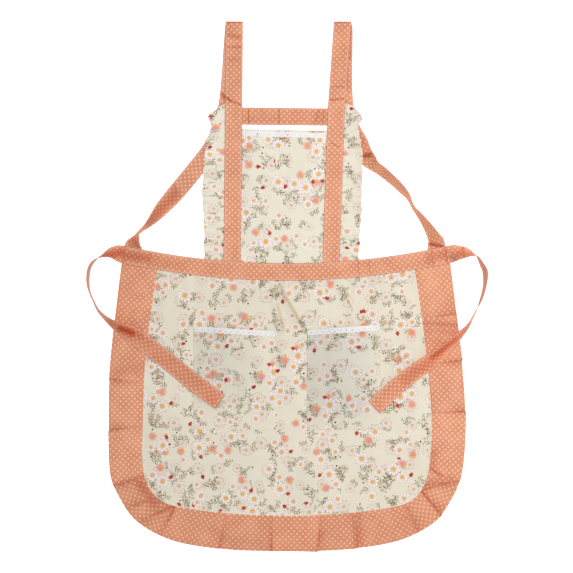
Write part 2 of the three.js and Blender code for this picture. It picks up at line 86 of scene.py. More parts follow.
# Border folds: length along the panel's edge, along the hem, height at the seam, at the hem, side on
# top, and how far that side's hem stands out
BORDER_FOLDS = [
    (124, 130, 0.2, 1.5, "after", 0.5), (219, 223, 0.2, 3.0, "before", 0.8),
    (297, 319, 0.2, 3.0, "after", 1.2), (389, 416, 0.6, 3.0, "before", 0.8),
    (428, 467, 2.4, 0.8, "after", 0.0), (462, 496, 2.4, 0.8, "before", 0.0),
    (471, 545, 2.6, 0.6, "after", 0.0), (563, 651, 0.4, 2.4, "before", 0.6),
    (644, 748, 0.4, 2.8, "after", 0.4), (732, 828, 0.6, 3.4, "before", 1.8),
    (795, 900, 0.6, 3.4, "before", 0.8), (889, 1015, 1.0, 0.8, "after", 0.0),
    (922, 1067, 2.4, 2.2, "before", 1.2), (937, 1139, 2.2, 3.0, "after", 0.8),
    (1067, 1262, 0.2, 3.0, "before", 1.0), (1157, 1358, 0.2, 3.0, "after", 1.5),
    (1236, 1440, 0.4, 2.6, "before", 0.5),
]
# How cloth turns under at a fold: step along the border for each millimetre of height, and height left
FOLD_TURN = [
    (0.0, 1.0), (0.7, 1.0), (1.0, 0.96), (1.12, 0.86), (1.0, 0.74), (0.0, 0.54), (-1.0, 0.32),
    (-1.12, 0.2), (-1.0, 0.06), (0.0, 0.0),
]

# Soft folds that fall from the waist: top x, top y, foot x, foot y, height, half width, and the half
# width and depth of the shade along them
WAIST_FOLDS = [
    (-12, 2, 26, -66, 2.0, 8, 4.0, 1.1), (-15, -32, -4, -80, 1.6, 7, 3.2, 0.85),
    (104, -6, 119, -44, 1.6, 7, 1.5, 1.3),
]
GATHER_FADE = 18

# Shoulder straps: y and x of the front; x, y and roll of the back
STRAP_FRONT = {
    "left": [(30, -97.3), (281, -94.5), (477, -93)],
    "right": [(30, 80.6), (281, 89.1), (323, 90.9), (477, 101.7)],
}
STRAP_BACK = {
    "left": [
        (-94.2, 464, 0), (-106.5, 323, 0), (-118.5, 281, 0), (-136.5, 245, 0), (-163.5, 210, 0),
        (-193, 174, 6), (-212, 152, 22), (-225, 137, 36), (-236.5, 123, 52), (-249.5, 109, 69),
        (-259, 101, 76), (-265.7, 94.5, 77), (-268.7, 87.5, 65), (-272, 80.5, 45), (-274.3, 75, 20),
        (-275, 70, 0), (-274, 55.5, 0),
    ],
    "right": [
        (104.3, 464, 0), (106.5, 323, 0), (119.5, 281, 0), (132.5, 258, 0), (141.5, 236, 3),
        (149.5, 225.5, 30), (158, 216.5, 52), (172, 206.5, 58), (196, 186, 64), (211, 170.5, 69),
        (218.5, 161.5, 76), (223, 153, 82), (226.5, 145.5, 83), (230.5, 138.5, 81), (236.5, 131.5, 77),
        (246.5, 118.5, 70), (256, 104.5, 60), (263, 93, 51), (267.5, 85, 38), (270, 78.5, 14),
        (270.7, 72, 0), (271, 55, 0),
    ],
}
STRAP_TOP = 476.3
OVER_BACK_FROM = (138, 188)  # y where a front strap and its ruffle climb over the back strap
OVER_BACK_TO = (328, 350)  # y where the front strap comes down again, above the bar

# Back bar
BAR_Y_LEFT = 306.5
BAR_Y_RIGHT = 304.3
BAR_LEFT = -101
BAR_RIGHT = 97.5

# Bib
BIB_TOP_LEFT = 283.6
BIB_TOP_RIGHT = 279.6
BIB_TUCK = 8
BIB_LACE_DROP = 3.5
RUFFLE_TUCK = 5.5
# Side ruffles: seam y, outer edge x and y
RUFFLE_SECTIONS = {
    "left": [
        (31, -147.6, 35), (118, -147.6, 118), (155, -151, 156), (191, -149.5, 191), (248, -143, 257),
        (278, -135.5, 290), (293, -140.4, 305), (310, -128, 317), (325, -113, 327),
    ],
    "right": [
        (29, 131, 33.5), (66, 131.6, 66), (119, 135, 119), (155, 136.8, 155), (238, 136.8, 242),
        (278, 130.6, 287), (295, 136.8, 305), (312, 123, 322), (327, 108, 329.5),
    ],
}
RUFFLE_FOLDS = {  # y and height of each soft fold
    "left": [(78, 3), (121, 4), (177, 4), (236, 5), (304, 4)],
    "right": [(84, 3), (140, 4), (196, 4), (250, 4), (304, 4)],
}
RUFFLE_FOLD_REACH = 15

# Pockets: left, right, mouth at the left, mouth at the right, foot
POCKETS = {
    "left": (-166.5, -18.7, -72, -81, -258),
    "right": (37.8, 169.2, -79, -69, -258.5),
}
POCKET_RISE = 7
LACE_DEPTH = 10
LACE_PITCH = 10.5
LACE_INSET = 1.5

# Waist ties: x, y and roll of the middle of the strip
TIES = {
    "left": [
        (-293, 57.2, 0), (-303.5, 59.3, 26), (-315.7, 59, 58), (-327.4, 54.8, 82), (-335, 51.7, 90),
        (-347, 42.8, 102), (-353, 31.8, 104), (-355.3, 17, 104), (-354.8, 2.3, 102),
        (-351.4, -12.4, 98), (-345, -27.2, 98), (-337.7, -42, 100), (-329, -52.2, 104),
        (-319, -61.2, 110), (-301.6, -73.5, 128), (-281.9, -83, 154), (-262, -97, 175),
        (-245, -109.5, 180), (-191, -152.5, 180), (-153, -183, 180), (-118.5, -208, 180),
    ],
    "right": [
        (293, 57.2, 0), (303, 59.8, 18), (310.7, 60.7, 35), (322.5, 61, 52), (332.8, 58.9, 72),
        (343.2, 53.8, 90), (351.6, 39.2, 100), (356.9, 28.8, 103), (357.9, 17.1, 102), (357.3, 5.2, 98),
        (354.8, -8, 96), (349.2, -25.7, 93.5), (342.1, -41.9, 84.5), (334.9, -56.6, 81),
        (326.5, -71.3, 76), (309.7, -90, 62), (287.3, -111.4, 52), (259, -134.8, 30), (224, -160.2, 18),
        (190.5, -188.5, 10), (158.5, -218, 0),
    ],
}
TIE_TUCK = 6  # of a tie's end, below the waistband's

# Creases: from x and y, to x and y, half width and how deep their shade is
CREASES = {
    "skirt_border": [
        (-262, -356, -236, -388, 12, 0.6), (-238, -379, -205, -395.5, 5, 0.6),
        (-270, -395.5, -238, -381.6, 2.2, 0.6), (-232.6, -408, -199.8, -396.9, 2.2, 0.75),
        (-210.6, -420.7, -199.8, -400.9, 2.4, 0.6), (-307.6, -357.8, -257.6, -342.5, 6, 0.5),
        (259.7, -328, 281.3, -341, 3.2, 0.7), (265, -300, 264, -324, 9, 0.45),
        (247, -365.6, 313, -350.3, 4.5, 0.55), (258, -355, 300, -346, 10, 0.4),
        (247, -370.6, 278.6, -411, 2.0, 0.75), (217.8, -398.5, 238, -442.8, 7, 0.32),
        (205, -396, 219, -424, 9, 0.1), (250, -66.6, 307, -69.7, 5, 0.45), (255, -78, 306, -84, 7, 0.3),
        (-308, -152, -260, -147, 15, 0.34), (121, -410, 126, -468, 5, 0.4),
        (131, -408, 136, -466, 4, 0.35),
    ],
    "waistband": [
        (-288, 57, -249, 50, 12, 0.66), (-245, 48, -190, 38, 15, 0.3), (-246.5, 32, -241, 64, 1.6, 0.5),
        (-290.5, 40, -288, 72, 2.5, 0.55), (131, 14, 130, 48, 1.6, 0.5), (152, 18, 149, 50, 1.8, 0.4),
        (261, 52, 292, 58, 13, 0.48), (266, 36, 262, 68, 2.2, 0.65), (290, 41, 287, 73, 2.2, 0.75),
    ],
    "back_bar": [
        (-67, 290, -67.5, 322, 2.0, 0.75), (-61, 298, -58, 306, 5, 0.35),
        (-12.5, 290, -12.5, 322, 1.9, 0.7), (52, 290, 60, 320, 2.2, 0.55), (66, 290, 69, 320, 1.6, 0.5),
        (10, 292, 30, 300, 6, 0.3),
    ],
    "shoulder_strap_left": [
        (-109, 475, -77, 475, 1.5, 0.8), (-108, 431, -78, 430, 1.8, 0.65),
        (-104, 452, -84, 448, 6, 0.55), (-100, 408, -86, 407, 5, 0.4),
        (-113, 343, -100, 334, 3.4, 0.85), (-100, 334, -79, 325.5, 2.0, 0.8),
    ],
    "shoulder_strap_right": [
        (86, 475, 118, 475, 1.5, 0.8), (82, 359, 107, 359, 1.7, 0.6), (80, 335, 106, 338, 2.0, 0.7),
        (100, 466, 114, 470, 4, 0.35), (82, 258, 95.5, 250.5, 1.6, 0.7),
    ],
    "shoulder_strap_left_back": [
        (-109, 475, -77, 475, 1.5, 0.8), (-276, 84, -262, 74, 9, 0.5),
        (-203, 184, -192, 163, 2.5, 0.62), (-200, 166, -246, 112, 14, 0.6),
        (-116, 346, -106, 336, 4, 0.85),
    ],
    "shoulder_strap_right_back": [
        (86, 475, 118, 475, 1.5, 0.8), (137, 235, 151, 236, 6, 0.85), (134, 268, 150, 243, 14, 0.4),
        (118, 470, 116, 408, 1.6, 0.95), (258, 77, 284, 71, 4.5, 0.9),
    ],
    "waist_tie_left": [
        (-297, -75, -276, -84, 10, 1.0), (-314, -64, -262, -90, 14, 0.6), (-330, 54, -298, 60, 11, 0.8),
        (-296, 45, -294, 72, 3, 0.5),
    ],
    "waist_tie_right": [
        (262, -128, 304, -94, 9, 0.85), (273, -123, 217, -166, 18, 0.56), (313, 60, 332, 57, 10, 0.6),
        (300, -100, 332, -68, 7, 0.75), (318, 70, 320, 52, 4, 0.75), (330, 57, 342, 54, 8, 0.4),
    ],
}


# Shapes

def smoothstep(value, low, high):
    share = np.clip((value - low) / (high - low), 0, 1)
    return share * share * (3 - 2 * share)


def bell(distance, reach):
    """1 at no distance, fading past the reach."""
    return np.exp(-((distance / reach) ** 2))


def ripple(x, y, length, seed, waves=9):
    """A gentle random undulation of about this wave length, mostly between -1 and 1."""
    random = np.random.default_rng(seed)
    total = 0.0
    for _ in range(waves):
        angle, phase = random.uniform(0, 2 * math.pi, 2)
        turns = 2 * math.pi / (length * random.uniform(0.7, 1.5))
        total = total + np.sin((x * math.cos(angle) + y * math.sin(angle)) * turns + phase)
    return total / math.sqrt(2 * waves)


def together(*columns):
    return np.stack(np.broadcast_arrays(*columns), axis=-1)


def unit(vectors):
    return vectors / np.linalg.norm(vectors, axis=-1, keepdims=True)


def lengths_along(points):
    """Length from the first point to each point, in plan or space."""
    steps = np.linalg.norm(np.diff(points, axis=0), axis=1)
    return np.concatenate([[0], np.cumsum(steps)])


def at_length(line, along, wanted):
    """Points of a dense line at the wanted lengths along it."""
    return together(*(np.interp(wanted, along, column) for column in line.T))


class Line:
    """A smooth line through rows of x, y and other columns, measured in plan."""

    def __init__(self, rows, steps=40):
        p = np.array(rows, float)
        p = np.vstack([2 * p[0] - p[1], p, 2 * p[-1] - p[-2]])
        dense = []
        for a, b, c, d in zip(p, p[1:], p[2:], p[3:]):
            gaps = [np.linalg.norm((q - r)[:2]) ** 0.5 for q, r in ((b, a), (c, b), (d, c))]
            t0, t1, t2, t3 = np.cumsum([0] + gaps)
            t = np.linspace(t1, t2, steps, endpoint=False)[:, None]
            ab = a + (b - a) * (t - t0) / (t1 - t0)
            bc = b + (c - b) * (t - t1) / (t2 - t1)
            cd = c + (d - c) * (t - t2) / (t3 - t2)
            left = ab + (bc - ab) * (t - t0) / (t2 - t0)
            right = bc + (cd - bc) * (t - t1) / (t3 - t1)
            dense.append(left + (right - left) * (t - t1) / (t2 - t1))
        self.points = np.vstack(dense + [p[-2:-1]])
        self.along = lengths_along(self.points[:, :2])
        self.length = self.along[-1]

    def at(self, wanted):
        return at_length(self.points, self.along, wanted)

    def heading(self, wanted):
        return unit(self.at(wanted + 1) - self.at(wanted - 1))


def from_line(x, y, x0, y0, x1, y1):
    """Distance in plan from a straight line between two ends."""
    run_x, run_y = x1 - x0, y1 - y0
    share = np.clip(((x - x0) * run_x + (y - y0) * run_y) / (run_x**2 + run_y**2), 0, 1)
    return np.hypot(x - x0 - share * run_x, y - y0 - share * run_y)


CREASE_RIDGE = 0.5  # height of a sharp crease
SHARP = 2.5  # half width of a crease that stands up in full


def creased(x, y, name):
    """Shade, from 0 to 1, and height of the creases of a piece."""
    shade, ridge = np.zeros_like(x), np.zeros_like(x)
    for *ends, width, depth in CREASES.get(name, []):
        near = depth * bell(from_line(x, y, *ends), width)
        shade = np.maximum(shade, near)
        ridge = np.maximum(ridge, near * CREASE_RIDGE * min(1, SHARP / width) ** 2)
    return shade, ridge


def waist_y(x, inward=0):
    """The waistband's middle line, or a line as far inside its arc."""
    return WAIST_MIDDLE + WAIST_RADIUS - np.sqrt((WAIST_RADIUS - inward) ** 2 - x**2)


def strap_x(side, y):
    ys, xs = zip(*STRAP_FRONT[side])
    return np.interp(y, ys, xs)


# Meshes

def put(name, data, place=(0, 0, 0)):
    thing = bpy.data.objects.new(name, data)
    thing.location = place
    bpy.context.scene.collection.objects.link(thing)
    return thing


def quads_of(rows, columns):
    first = (np.arange(rows - 1)[:, None] * columns + np.arange(columns - 1)).ravel()
    return together(first, first + 1, first + columns + 1, first + columns)


def mesh_object(name, points, quads, cloth, material, shade=None, painted_light=None):
    """An object from points in millimetres, with cloth coordinates for each face corner. For each
    point, shade is its painted shade, from creases, folds and edges, and the last array its painted
    light: how far the cloth's painted lit-through or dimmed tint shows."""
    mesh = bpy.data.meshes.new(name)
    mesh.from_pydata((points * MM).tolist(), [], quads.tolist())
    layer = mesh.uv_layers.new(name="cloth")
    layer.data.foreach_set("uv", (cloth * MM).ravel())
    for key, values in (("painted_shade", shade), ("painted_light", painted_light)):
        layer = mesh.attributes.new(key, "FLOAT", "POINT")
        if values is not None:
            layer.data.foreach_set("value", np.maximum(values, 0).ravel().astype(np.float32))
    mesh.polygons.foreach_set("use_smooth", np.ones(len(quads), bool))
    mesh.materials.append(material)
    return put(name, mesh)


EDGE_WEIGHT = 80  # how far a sheet's large faces outweigh its thin rim in the shading


def thicken(piece, thickness):
    skin = piece.modifiers.new("thickness", "SOLIDIFY")
    skin.thickness = thickness * MM
    skin.offset = 0
    level = piece.modifiers.new("level shading", "WEIGHTED_NORMAL")
    level.weight = EDGE_WEIGHT


def thin_edges(piece, shares):
    """Leaves a share of a cloth piece's thickness at each of its points."""
    group = piece.vertex_groups.new(name="thickness")
    for index, share in enumerate(shares.ravel().tolist()):
        group.add([index], share, "REPLACE")
    piece.modifiers["thickness"].vertex_group = group.name


def cloth_grid(name, points, cloth, material, thickness, shade=None, painted_light=None):
    """A cloth piece from rows of columns of points. cloth has a place for each point or face corner."""
    rows, columns = points.shape[:2]
    quads = quads_of(rows, columns)
    if cloth.shape[:2] == (rows, columns):
        cloth = cloth.reshape(-1, 2)[quads]
    piece = mesh_object(name, points.reshape(-1, 3), quads, cloth, material, shade, painted_light)
    thicken(piece, thickness)
    return piece


# Stitches: length, pitch, half width and half height of one, and a ring's place, size and dip along it
STITCH_LENGTH = 2.3
STITCH_PITCH = 2.9
STITCH_WIDE = 0.48
STITCH_HIGH = 0.22
STITCH_RINGS = [(0, 0.15, -0.25), (0.25, 1, 0.05), (0.75, 1, 0.05), (1, 0.15, -0.25)]
STITCH_SIDES = 5


def make_stitches(name, rows, material):
    """Rows of running stitches as one mesh. A row is points along the cloth and the normals there."""
    stitches = []
    for points, normals in rows:
        along = lengths_along(points)
        starts = np.arange(1, along[-1] - STITCH_LENGTH, STITCH_PITCH)
        first = at_length(points, along, starts)
        run = at_length(points, along, starts + STITCH_LENGTH) - first
        up = unit(at_length(normals, along, starts + STITCH_LENGTH / 2))
        aside = unit(np.cross(up, run))
        rings = []
        for share, size, dip in STITCH_RINGS:
            for side in range(STITCH_SIDES):
                angle = 2 * math.pi * side / STITCH_SIDES
                wide, high = STITCH_WIDE * size * math.cos(angle), STITCH_HIGH * size * math.sin(angle)
                rings.append(first + run * share + up * dip + aside * wide + up * high)
        stitches.append(np.stack(rings, axis=1))
    points = np.concatenate(stitches)
    ring = np.arange(STITCH_SIDES)
    ahead = (ring + 1) % STITCH_SIDES
    sides = together(ring, ahead, ahead + STITCH_SIDES, ring + STITCH_SIDES)
    one = np.concatenate([sides + k * STITCH_SIDES for k in range(len(STITCH_RINGS) - 1)])
    quads = (one + np.arange(len(points))[:, None, None] * points.shape[1]).reshape(-1, 4)
    flat = points.reshape(-1, 3)
    return mesh_object(name, flat, quads, flat[quads][..., :2], material)


def on_top(points, thickness, normals=(0.0, 0.0, 1.0)):
    """A row for stitches, on the upper side of cloth whose middle is at these points."""
    normals = np.broadcast_to(normals, points.shape)
    return points + normals * (thickness / 2 + STITCH_HIGH / 2), normals


# Materials

def colour(code):
    """Scene colour of a hex colour as it shows on a screen."""
    parts = [int(code[i : i + 2], 16) / 255 for i in (0, 2, 4)]
    return tuple(c / 12.92 if c <= 0.04045 else ((c + 0.055) / 1.055) ** 2.4 for c in parts) + (1.0,)


class Graph:
    """Makes the nodes of a material. An input is a number, a tuple, a hex colour or a node's output."""

    def __init__(self, name):
        self.material = bpy.data.materials.new(name)
        self.material.use_nodes = True
        self.tree = self.material.node_tree
        self.shader = self.tree.nodes["Principled BSDF"]

    def feed(self, node, inputs):
        for key, value in inputs.items():
            if isinstance(value, bpy.types.NodeSocket):
                self.tree.links.new(value, node.inputs[key])
            else:
                node.inputs[key].default_value = colour(value) if isinstance(value, str) else value

    def make(self, kind, inputs, **settings):
        node = self.tree.nodes.new(f"ShaderNode{kind}")
        for key, value in settings.items():
            setattr(node, key, value)
        self.feed(node, inputs)
        return node.outputs

    @cached_property
    def cloth(self):
        return self.make("UVMap", {}, uv_map="cloth")["UV"]

    def attribute(self, name):
        return self.make("Attribute", {}, attribute_name=name)["Fac"]

    def math(self, operation, *values):
        return self.make("Math", dict(enumerate(values)), operation=operation)[0]

    def linear(self, value, factor, plus):
        return self.math("MULTIPLY_ADD", value, factor, plus)

    def times(self, *values):
        return reduce(lambda total, value: self.math("MULTIPLY", total, value), values)

    def squares(self, *values):
        return self.math("ADD", *(self.times(value, value) for value in values))

    def luck(self, seed):
        return self.make("TexWhiteNoise", {"W": seed}, noise_dimensions="1D")["Value"]

    def vector(self, operation, *values):
        outputs = self.make("VectorMath", dict(enumerate(values)), operation=operation)
        return outputs["Value" if operation == "LENGTH" else "Vector"]

    def scaled(self, place, size):
        return self.make("VectorMath", {"Vector": place, "Scale": size}, operation="SCALE")["Vector"]

    def turned(self, place, angle):
        inputs = {"Vector": place, "Angle": angle}
        return self.make("VectorRotate", inputs, rotation_type="Z_AXIS")["Vector"]

    def parts(self, place):
        outputs = self.make("SeparateXYZ", {0: place})
        return outputs["X"], outputs["Y"]

    def ramp(self, value, low, high):
        """0 below low and 1 above high, or the other way round where low is the larger."""
        inputs = {"Value": value, "From Min": low, "From Max": high}
        return self.make("MapRange", inputs, interpolation_type="SMOOTHSTEP")["Result"]

    def mix(self, share, first, second, blend="MIX"):
        inputs = {0: share, 6: first, 7: second}
        return self.make("Mix", inputs, data_type="RGBA", blend_type=blend)[2]

    def noise(self, place, scale, detail=2.0, output="Fac"):
        return self.make("TexNoise", {"Vector": place, "Scale": scale, "Detail": detail})[output]

    def spots(self, place, scale, low, high, detail=2.0):
        return self.ramp(self.noise(place, scale, detail), low, high)


THREAD = 0.55  # millimetres from one thread of the weave to the next


def weave_finish(g, paint, roughness, painted_shade_tint, painted_light_tint, uneven=0.05):
    """Cotton: uneven dye, painted shade in creases, folds and edges, painted tints where bands are lit
    through and pockets dimmed, a plain weave in the surface, and a soft sheen.
    """
    patches = g.spots(g.cloth, 14.0, 0.25, 0.75, 3.0)
    slubs = g.spots(g.vector("MULTIPLY", g.cloth, (1.0, 0.12, 1.0)), 2400.0, 0.3, 0.7)
    shade = g.linear(slubs, 0.03, g.linear(patches, uneven, 0.98 - uneven / 2))
    grey = g.make("CombineColor", {0: shade, 1: shade, 2: shade})[0]
    dyed = g.mix(1.0, paint, grey, "MULTIPLY")
    # Painted shade: the colour is multiplied towards the cloth's shade tint, and past it where deep
    dyed = g.mix(g.math("POWER", g.attribute("painted_shade"), 1.3), dyed, painted_shade_tint, "MULTIPLY")
    dyed.node.clamp_factor = False
    # Painted light and shade: the colour takes the cloth's lit-through or dimmed tint as far as asked
    dyed = g.mix(g.attribute("painted_light"), dyed, painted_light_tint, "MULTIPLY")
    turns = 2 * math.pi / (THREAD * MM)
    warp, weft = (g.math("SINE", g.times(way, turns)) for way in g.parts(g.cloth))
    weave = g.linear(g.times(warp, weft), 0.5, slubs)
    finish = {
        "Base Color": dyed,
        "Roughness": g.linear(patches, 0.08, roughness),
        "Normal": g.make("Bump", {"Strength": 0.25, "Distance": 0.0001, "Height": weave})["Normal"],
        "Specular IOR Level": 0.2,
        "Sheen Weight": 0.06,
        "Sheen Roughness": 0.6,
    }
    g.feed(g.shader, finish)
    return g.material


WHITE = (1.0, 1.0, 1.0, 1.0)
LIT_THROUGH = (1.16, 1.09, 1.02, 1.0)  # painted light on a band that stands up, as if lit from behind
DIMMED = (0.85, 0.872, 0.905, 1.0)  # painted shade, cooler and darker, over a pocket's upper part
# Painted shade: colours that each cloth is multiplied by where its painted shade is full
DOTTED_SHADE_TINT = (0.54, 0.14, 0.05, 1.0)
FLORAL_SHADE_TINT = (0.79, 0.74, 0.67, 1.0)
LACE_SHADE_TINT = (0.8, 0.8, 0.8, 1.0)
DOT_PITCH = 10.3
DOT_RADIUS = 1.55
DOT_WOBBLE = 0.0003  # in metres


def dotted_cotton():
    g = Graph("dotted_cotton")
    wobble = g.noise(g.cloth, 900.0, output="Color")
    printed = g.vector("MULTIPLY_ADD", wobble, (DOT_WOBBLE, DOT_WOBBLE, 0.0), g.cloth)
    places = g.scaled(printed, 1 / (DOT_PITCH * MM))
    distances = []
    for shift in ((0.5, 0.5, 0.0), (0.0, 0.0, 0.0)):
        cell = g.vector("FRACTION", g.vector("ADD", places, shift))
        flat = g.vector("MULTIPLY", g.vector("SUBTRACT", cell, (0.5, 0.5, 0.0)), (1.0, 1.0, 0.0))
        distances.append(g.vector("LENGTH", flat))
    edge = DOT_RADIUS / DOT_PITCH
    dot = g.ramp(g.math("MINIMUM", *distances), edge * 1.14, edge * 0.86)
    ground = g.mix(g.spots(g.cloth, 40.0, 0.3, 0.7, 3.0), "c98767", "d39475")
    return weave_finish(g, g.mix(dot, ground, "f2bb9c"), 0.82, DOTTED_SHADE_TINT, LIT_THROUGH, 0.1)


def scatter(g, place, pitch, seed, loose):
    """Places about pitch mm apart. Gives the offset in mm from the nearest one, turned at random,
    and random numbers of that place."""
    scale = 1 / (pitch * MM)
    grid = g.vector("MULTIPLY_ADD", place, (scale, scale, 0.0), (seed * 7.31, seed * 3.77, 0.0))
    inputs = {"Vector": grid, "Scale": 1.0, "Randomness": loose}
    cells = g.make("TexVoronoi", inputs, voronoi_dimensions="2D")
    offset = g.vector("MULTIPLY", g.vector("SUBTRACT", grid, cells["Position"]), (pitch, pitch, 0.0))
    numbers = g.make("SeparateColor", {0: cells["Color"]})
    return g.turned(offset, g.times(numbers[0], 2 * math.pi)), numbers


def beside(g, offset, x, y, degrees=0):
    """The place as seen from a motif that is set at x and y of its bunch and turned."""
    return g.turned(g.vector("SUBTRACT", offset, (x, y, 0.0)), math.radians(degrees))


def grown(g, place, number):
    """The place as seen from a motif that is up to a quarter smaller or larger."""
    return g.scaled(place, g.math("DIVIDE", 1.0, g.linear(number, 0.45, 0.75)))


def frayed(g, value, scale, amount):
    """A distance whose rim is uneven, as if painted by hand."""
    return g.linear(g.math("SUBTRACT", g.noise(g.cloth, scale), 0.5), amount, value)


def petals_of(g, place, size, count, width):
    """Oval petals round a heart. Gives how far out a point is on its petal, 1 at the rim, the
    distance from the flower's middle and the distance from the petal's own axis."""
    x, y = g.parts(place)
    turn = g.linear(g.math("ARCTAN2", y, x), count / (2 * math.pi), count)
    radius = g.vector("LENGTH", place)
    swing = g.times(g.math("SUBTRACT", g.math("FRACT", turn), 0.5), 2 * math.pi / count)
    aside = g.math("ABSOLUTE", g.times(swing, radius))
    reach = g.linear(g.luck(g.math("FLOOR", turn)), size * 0.22, size * 0.86)
    along = g.math("DIVIDE", g.linear(reach, -0.6, radius), g.times(reach, 0.4))
    return g.squares(along, g.math("DIVIDE", aside, size * width)), radius, aside


PETAL_LINE = "9c777a"


def add_daisy(g, paint, place, size):
    """A white daisy with fine outlines, a vein on each petal and a grainy golden heart."""
    out, radius, aside = petals_of(g, place, size, count=9, width=0.215)
    broken = g.linear(g.spots(g.cloth, 500.0, 0.38, 0.6), 0.75, 0.25)
    rim = g.times(g.ramp(out, 0.6, 0.98), g.ramp(out, 1.45, 1.1), broken)
    vein = g.times(g.ramp(aside, 0.45, 0.1), g.ramp(out, 0.8, 0.3), 0.5)
    petal = g.mix(g.ramp(radius, size * 0.35, size * 0.75), "dccac3", "f0eae3")
    petal = g.mix(g.math("MAXIMUM", rim, vein), petal, PETAL_LINE)
    paint = g.mix(g.ramp(out, 1.5, 1.1), paint, petal)
    inner = frayed(g, g.math("DIVIDE", radius, size * 0.31), 560.0, 1.5)
    grain = g.times(g.spots(g.cloth, 1100.0, 0.4, 0.7), 0.6)
    heart = g.mix(g.math("MAXIMUM", g.ramp(inner, 0.4, 1.1), grain), "e6b445", "c8933a")
    return g.mix(g.times(g.ramp(inner, 1.15, 0.75), 0.95), paint, heart)


def add_outline_flower(g, paint, place, size):
    """A pale flower in line work, with a faint heart."""
    out, radius, aside = petals_of(g, place, size, count=8, width=0.25)
    rim = g.times(g.ramp(out, 0.5, 0.95), g.ramp(out, 1.45, 1.1))
    broken = g.spots(g.cloth, 420.0, 0.36, 0.6)
    vein = g.times(g.ramp(aside, 0.5, 0.1), g.ramp(out, 0.9, 0.4), 0.7)
    paint = g.mix(g.times(g.ramp(out, 1.4, 1.0), 0.5), paint, "e4d5cf")
    paint = g.mix(g.times(g.math("MAXIMUM", rim, vein), broken, 0.85), paint, PETAL_LINE)
    inner = frayed(g, g.math("DIVIDE", radius, size * 0.25), 600.0, 1.6)
    return g.mix(g.times(g.ramp(inner, 1.1, 0.7), 0.8), paint, "cda95a")


def add_bloom(g, paint, place, size, blush, shown):
    """A half-open bloom, pink on one side and orange on the other, washed out towards its rim."""
    out = frayed(g, g.math("DIVIDE", g.vector("LENGTH", place), size), 330.0, 1.1)
    wash = g.mix(g.ramp(g.parts(place)[1], -size * 0.15, size * 0.45), "d9807e", "e2a05c")
    wash = g.mix(g.times(blush, 0.5), wash, "dc9290")
    wash = g.mix(g.times(g.ramp(out, 0.35, 0.95), 0.7), wash, "e3c3b8")
    lines = g.spots(g.vector("MULTIPLY", place, (0.25, 1.0, 0.0)), 0.9, 0.52, 0.62)
    wash = g.mix(g.times(lines, 0.45), wash, "b8655c")
    paint = g.mix(g.times(g.ramp(out, 1.1, 0.65), 0.85, shown), paint, wash)
    from_heart = g.vector("LENGTH", g.vector("SUBTRACT", place, (size * 0.25, size * 0.25, 0.0)))
    heart = g.ramp(frayed(g, from_heart, 560.0, 3.0), 3.4, 1.4)
    return g.mix(g.times(heart, 0.85, shown), paint, "dd9a3e")


def add_bud(g, paint, place, number, shown):
    """A small red bud with a darker fold, on a short stem."""
    x, y = g.parts(place)
    stem = g.ramp(g.math("ABSOLUTE", x), 0.6, 0.3)
    below = g.times(g.ramp(y, -9.0, -8.0), g.ramp(y, -1.0, -2.0))
    paint = g.mix(g.times(stem, below, 0.8, shown), paint, "6a6038")
    wide = g.math("DIVIDE", x, g.times(g.linear(y, -0.12, 1.0), 3.2))
    out = g.squares(wide, g.math("DIVIDE", y, 4.2))
    red = g.mix(number, "a5302a", "c44a36")
    red = g.mix(g.times(g.ramp(g.math("ABSOLUTE", wide), 0.3, 0.05), 0.6), red, "7c2420")
    return g.mix(g.times(g.ramp(frayed(g, out, 620.0, 0.8), 1.15, 0.8), shown), paint, red)


def add_sprig(g, paint, place, length, leaf, bend, number):
    """A curved twig with slender leaves of uneven length, more or less bent by its number."""
    x, y = g.parts(place)
    bent = g.linear(g.times(y, y), g.times(g.linear(number, 2.4, -0.4), bend), x)
    side, away = g.math("SIGN", bent), g.math("ABSOLUTE", bent)
    gap = leaf * 1.05
    rank = g.math("DIVIDE", g.linear(side, gap * 0.22, g.linear(away, -0.9, y)), gap)
    luck = g.luck(g.linear(number, 91.7, g.linear(side, 17.3, g.math("FLOOR", rank))))
    reach = g.linear(luck, leaf * 0.95, leaf * 0.4)
    beat = g.times(g.math("SUBTRACT", g.math("FRACT", rank), 0.5), gap)
    across = g.math("DIVIDE", beat, g.linear(luck, leaf * 0.13, leaf * 0.16))
    outward = g.math("DIVIDE", g.linear(reach, -0.55, away), g.times(reach, 0.5))
    leaves = g.times(g.ramp(g.squares(across, outward), 1.25, 0.7), g.linear(luck, 0.5, 0.5))
    stem = g.ramp(away, 0.55, 0.25)
    inside = g.ramp(g.math("ABSOLUTE", y), length, length * 0.9)
    green = g.mix(g.spots(g.cloth, 260.0, 0.35, 0.65), "4c4018", "8c7c45")
    return g.mix(g.times(g.math("MAXIMUM", stem, leaves), inside, 0.92), paint, green)


def add_speck(g, paint, place, radius):
    return g.mix(g.ramp(g.vector("LENGTH", place), radius * 1.25, radius * 0.75), paint, "3b2a20")


HAND_DRAWN = 0.0024  # how far, in metres, the print strays from its regular shapes


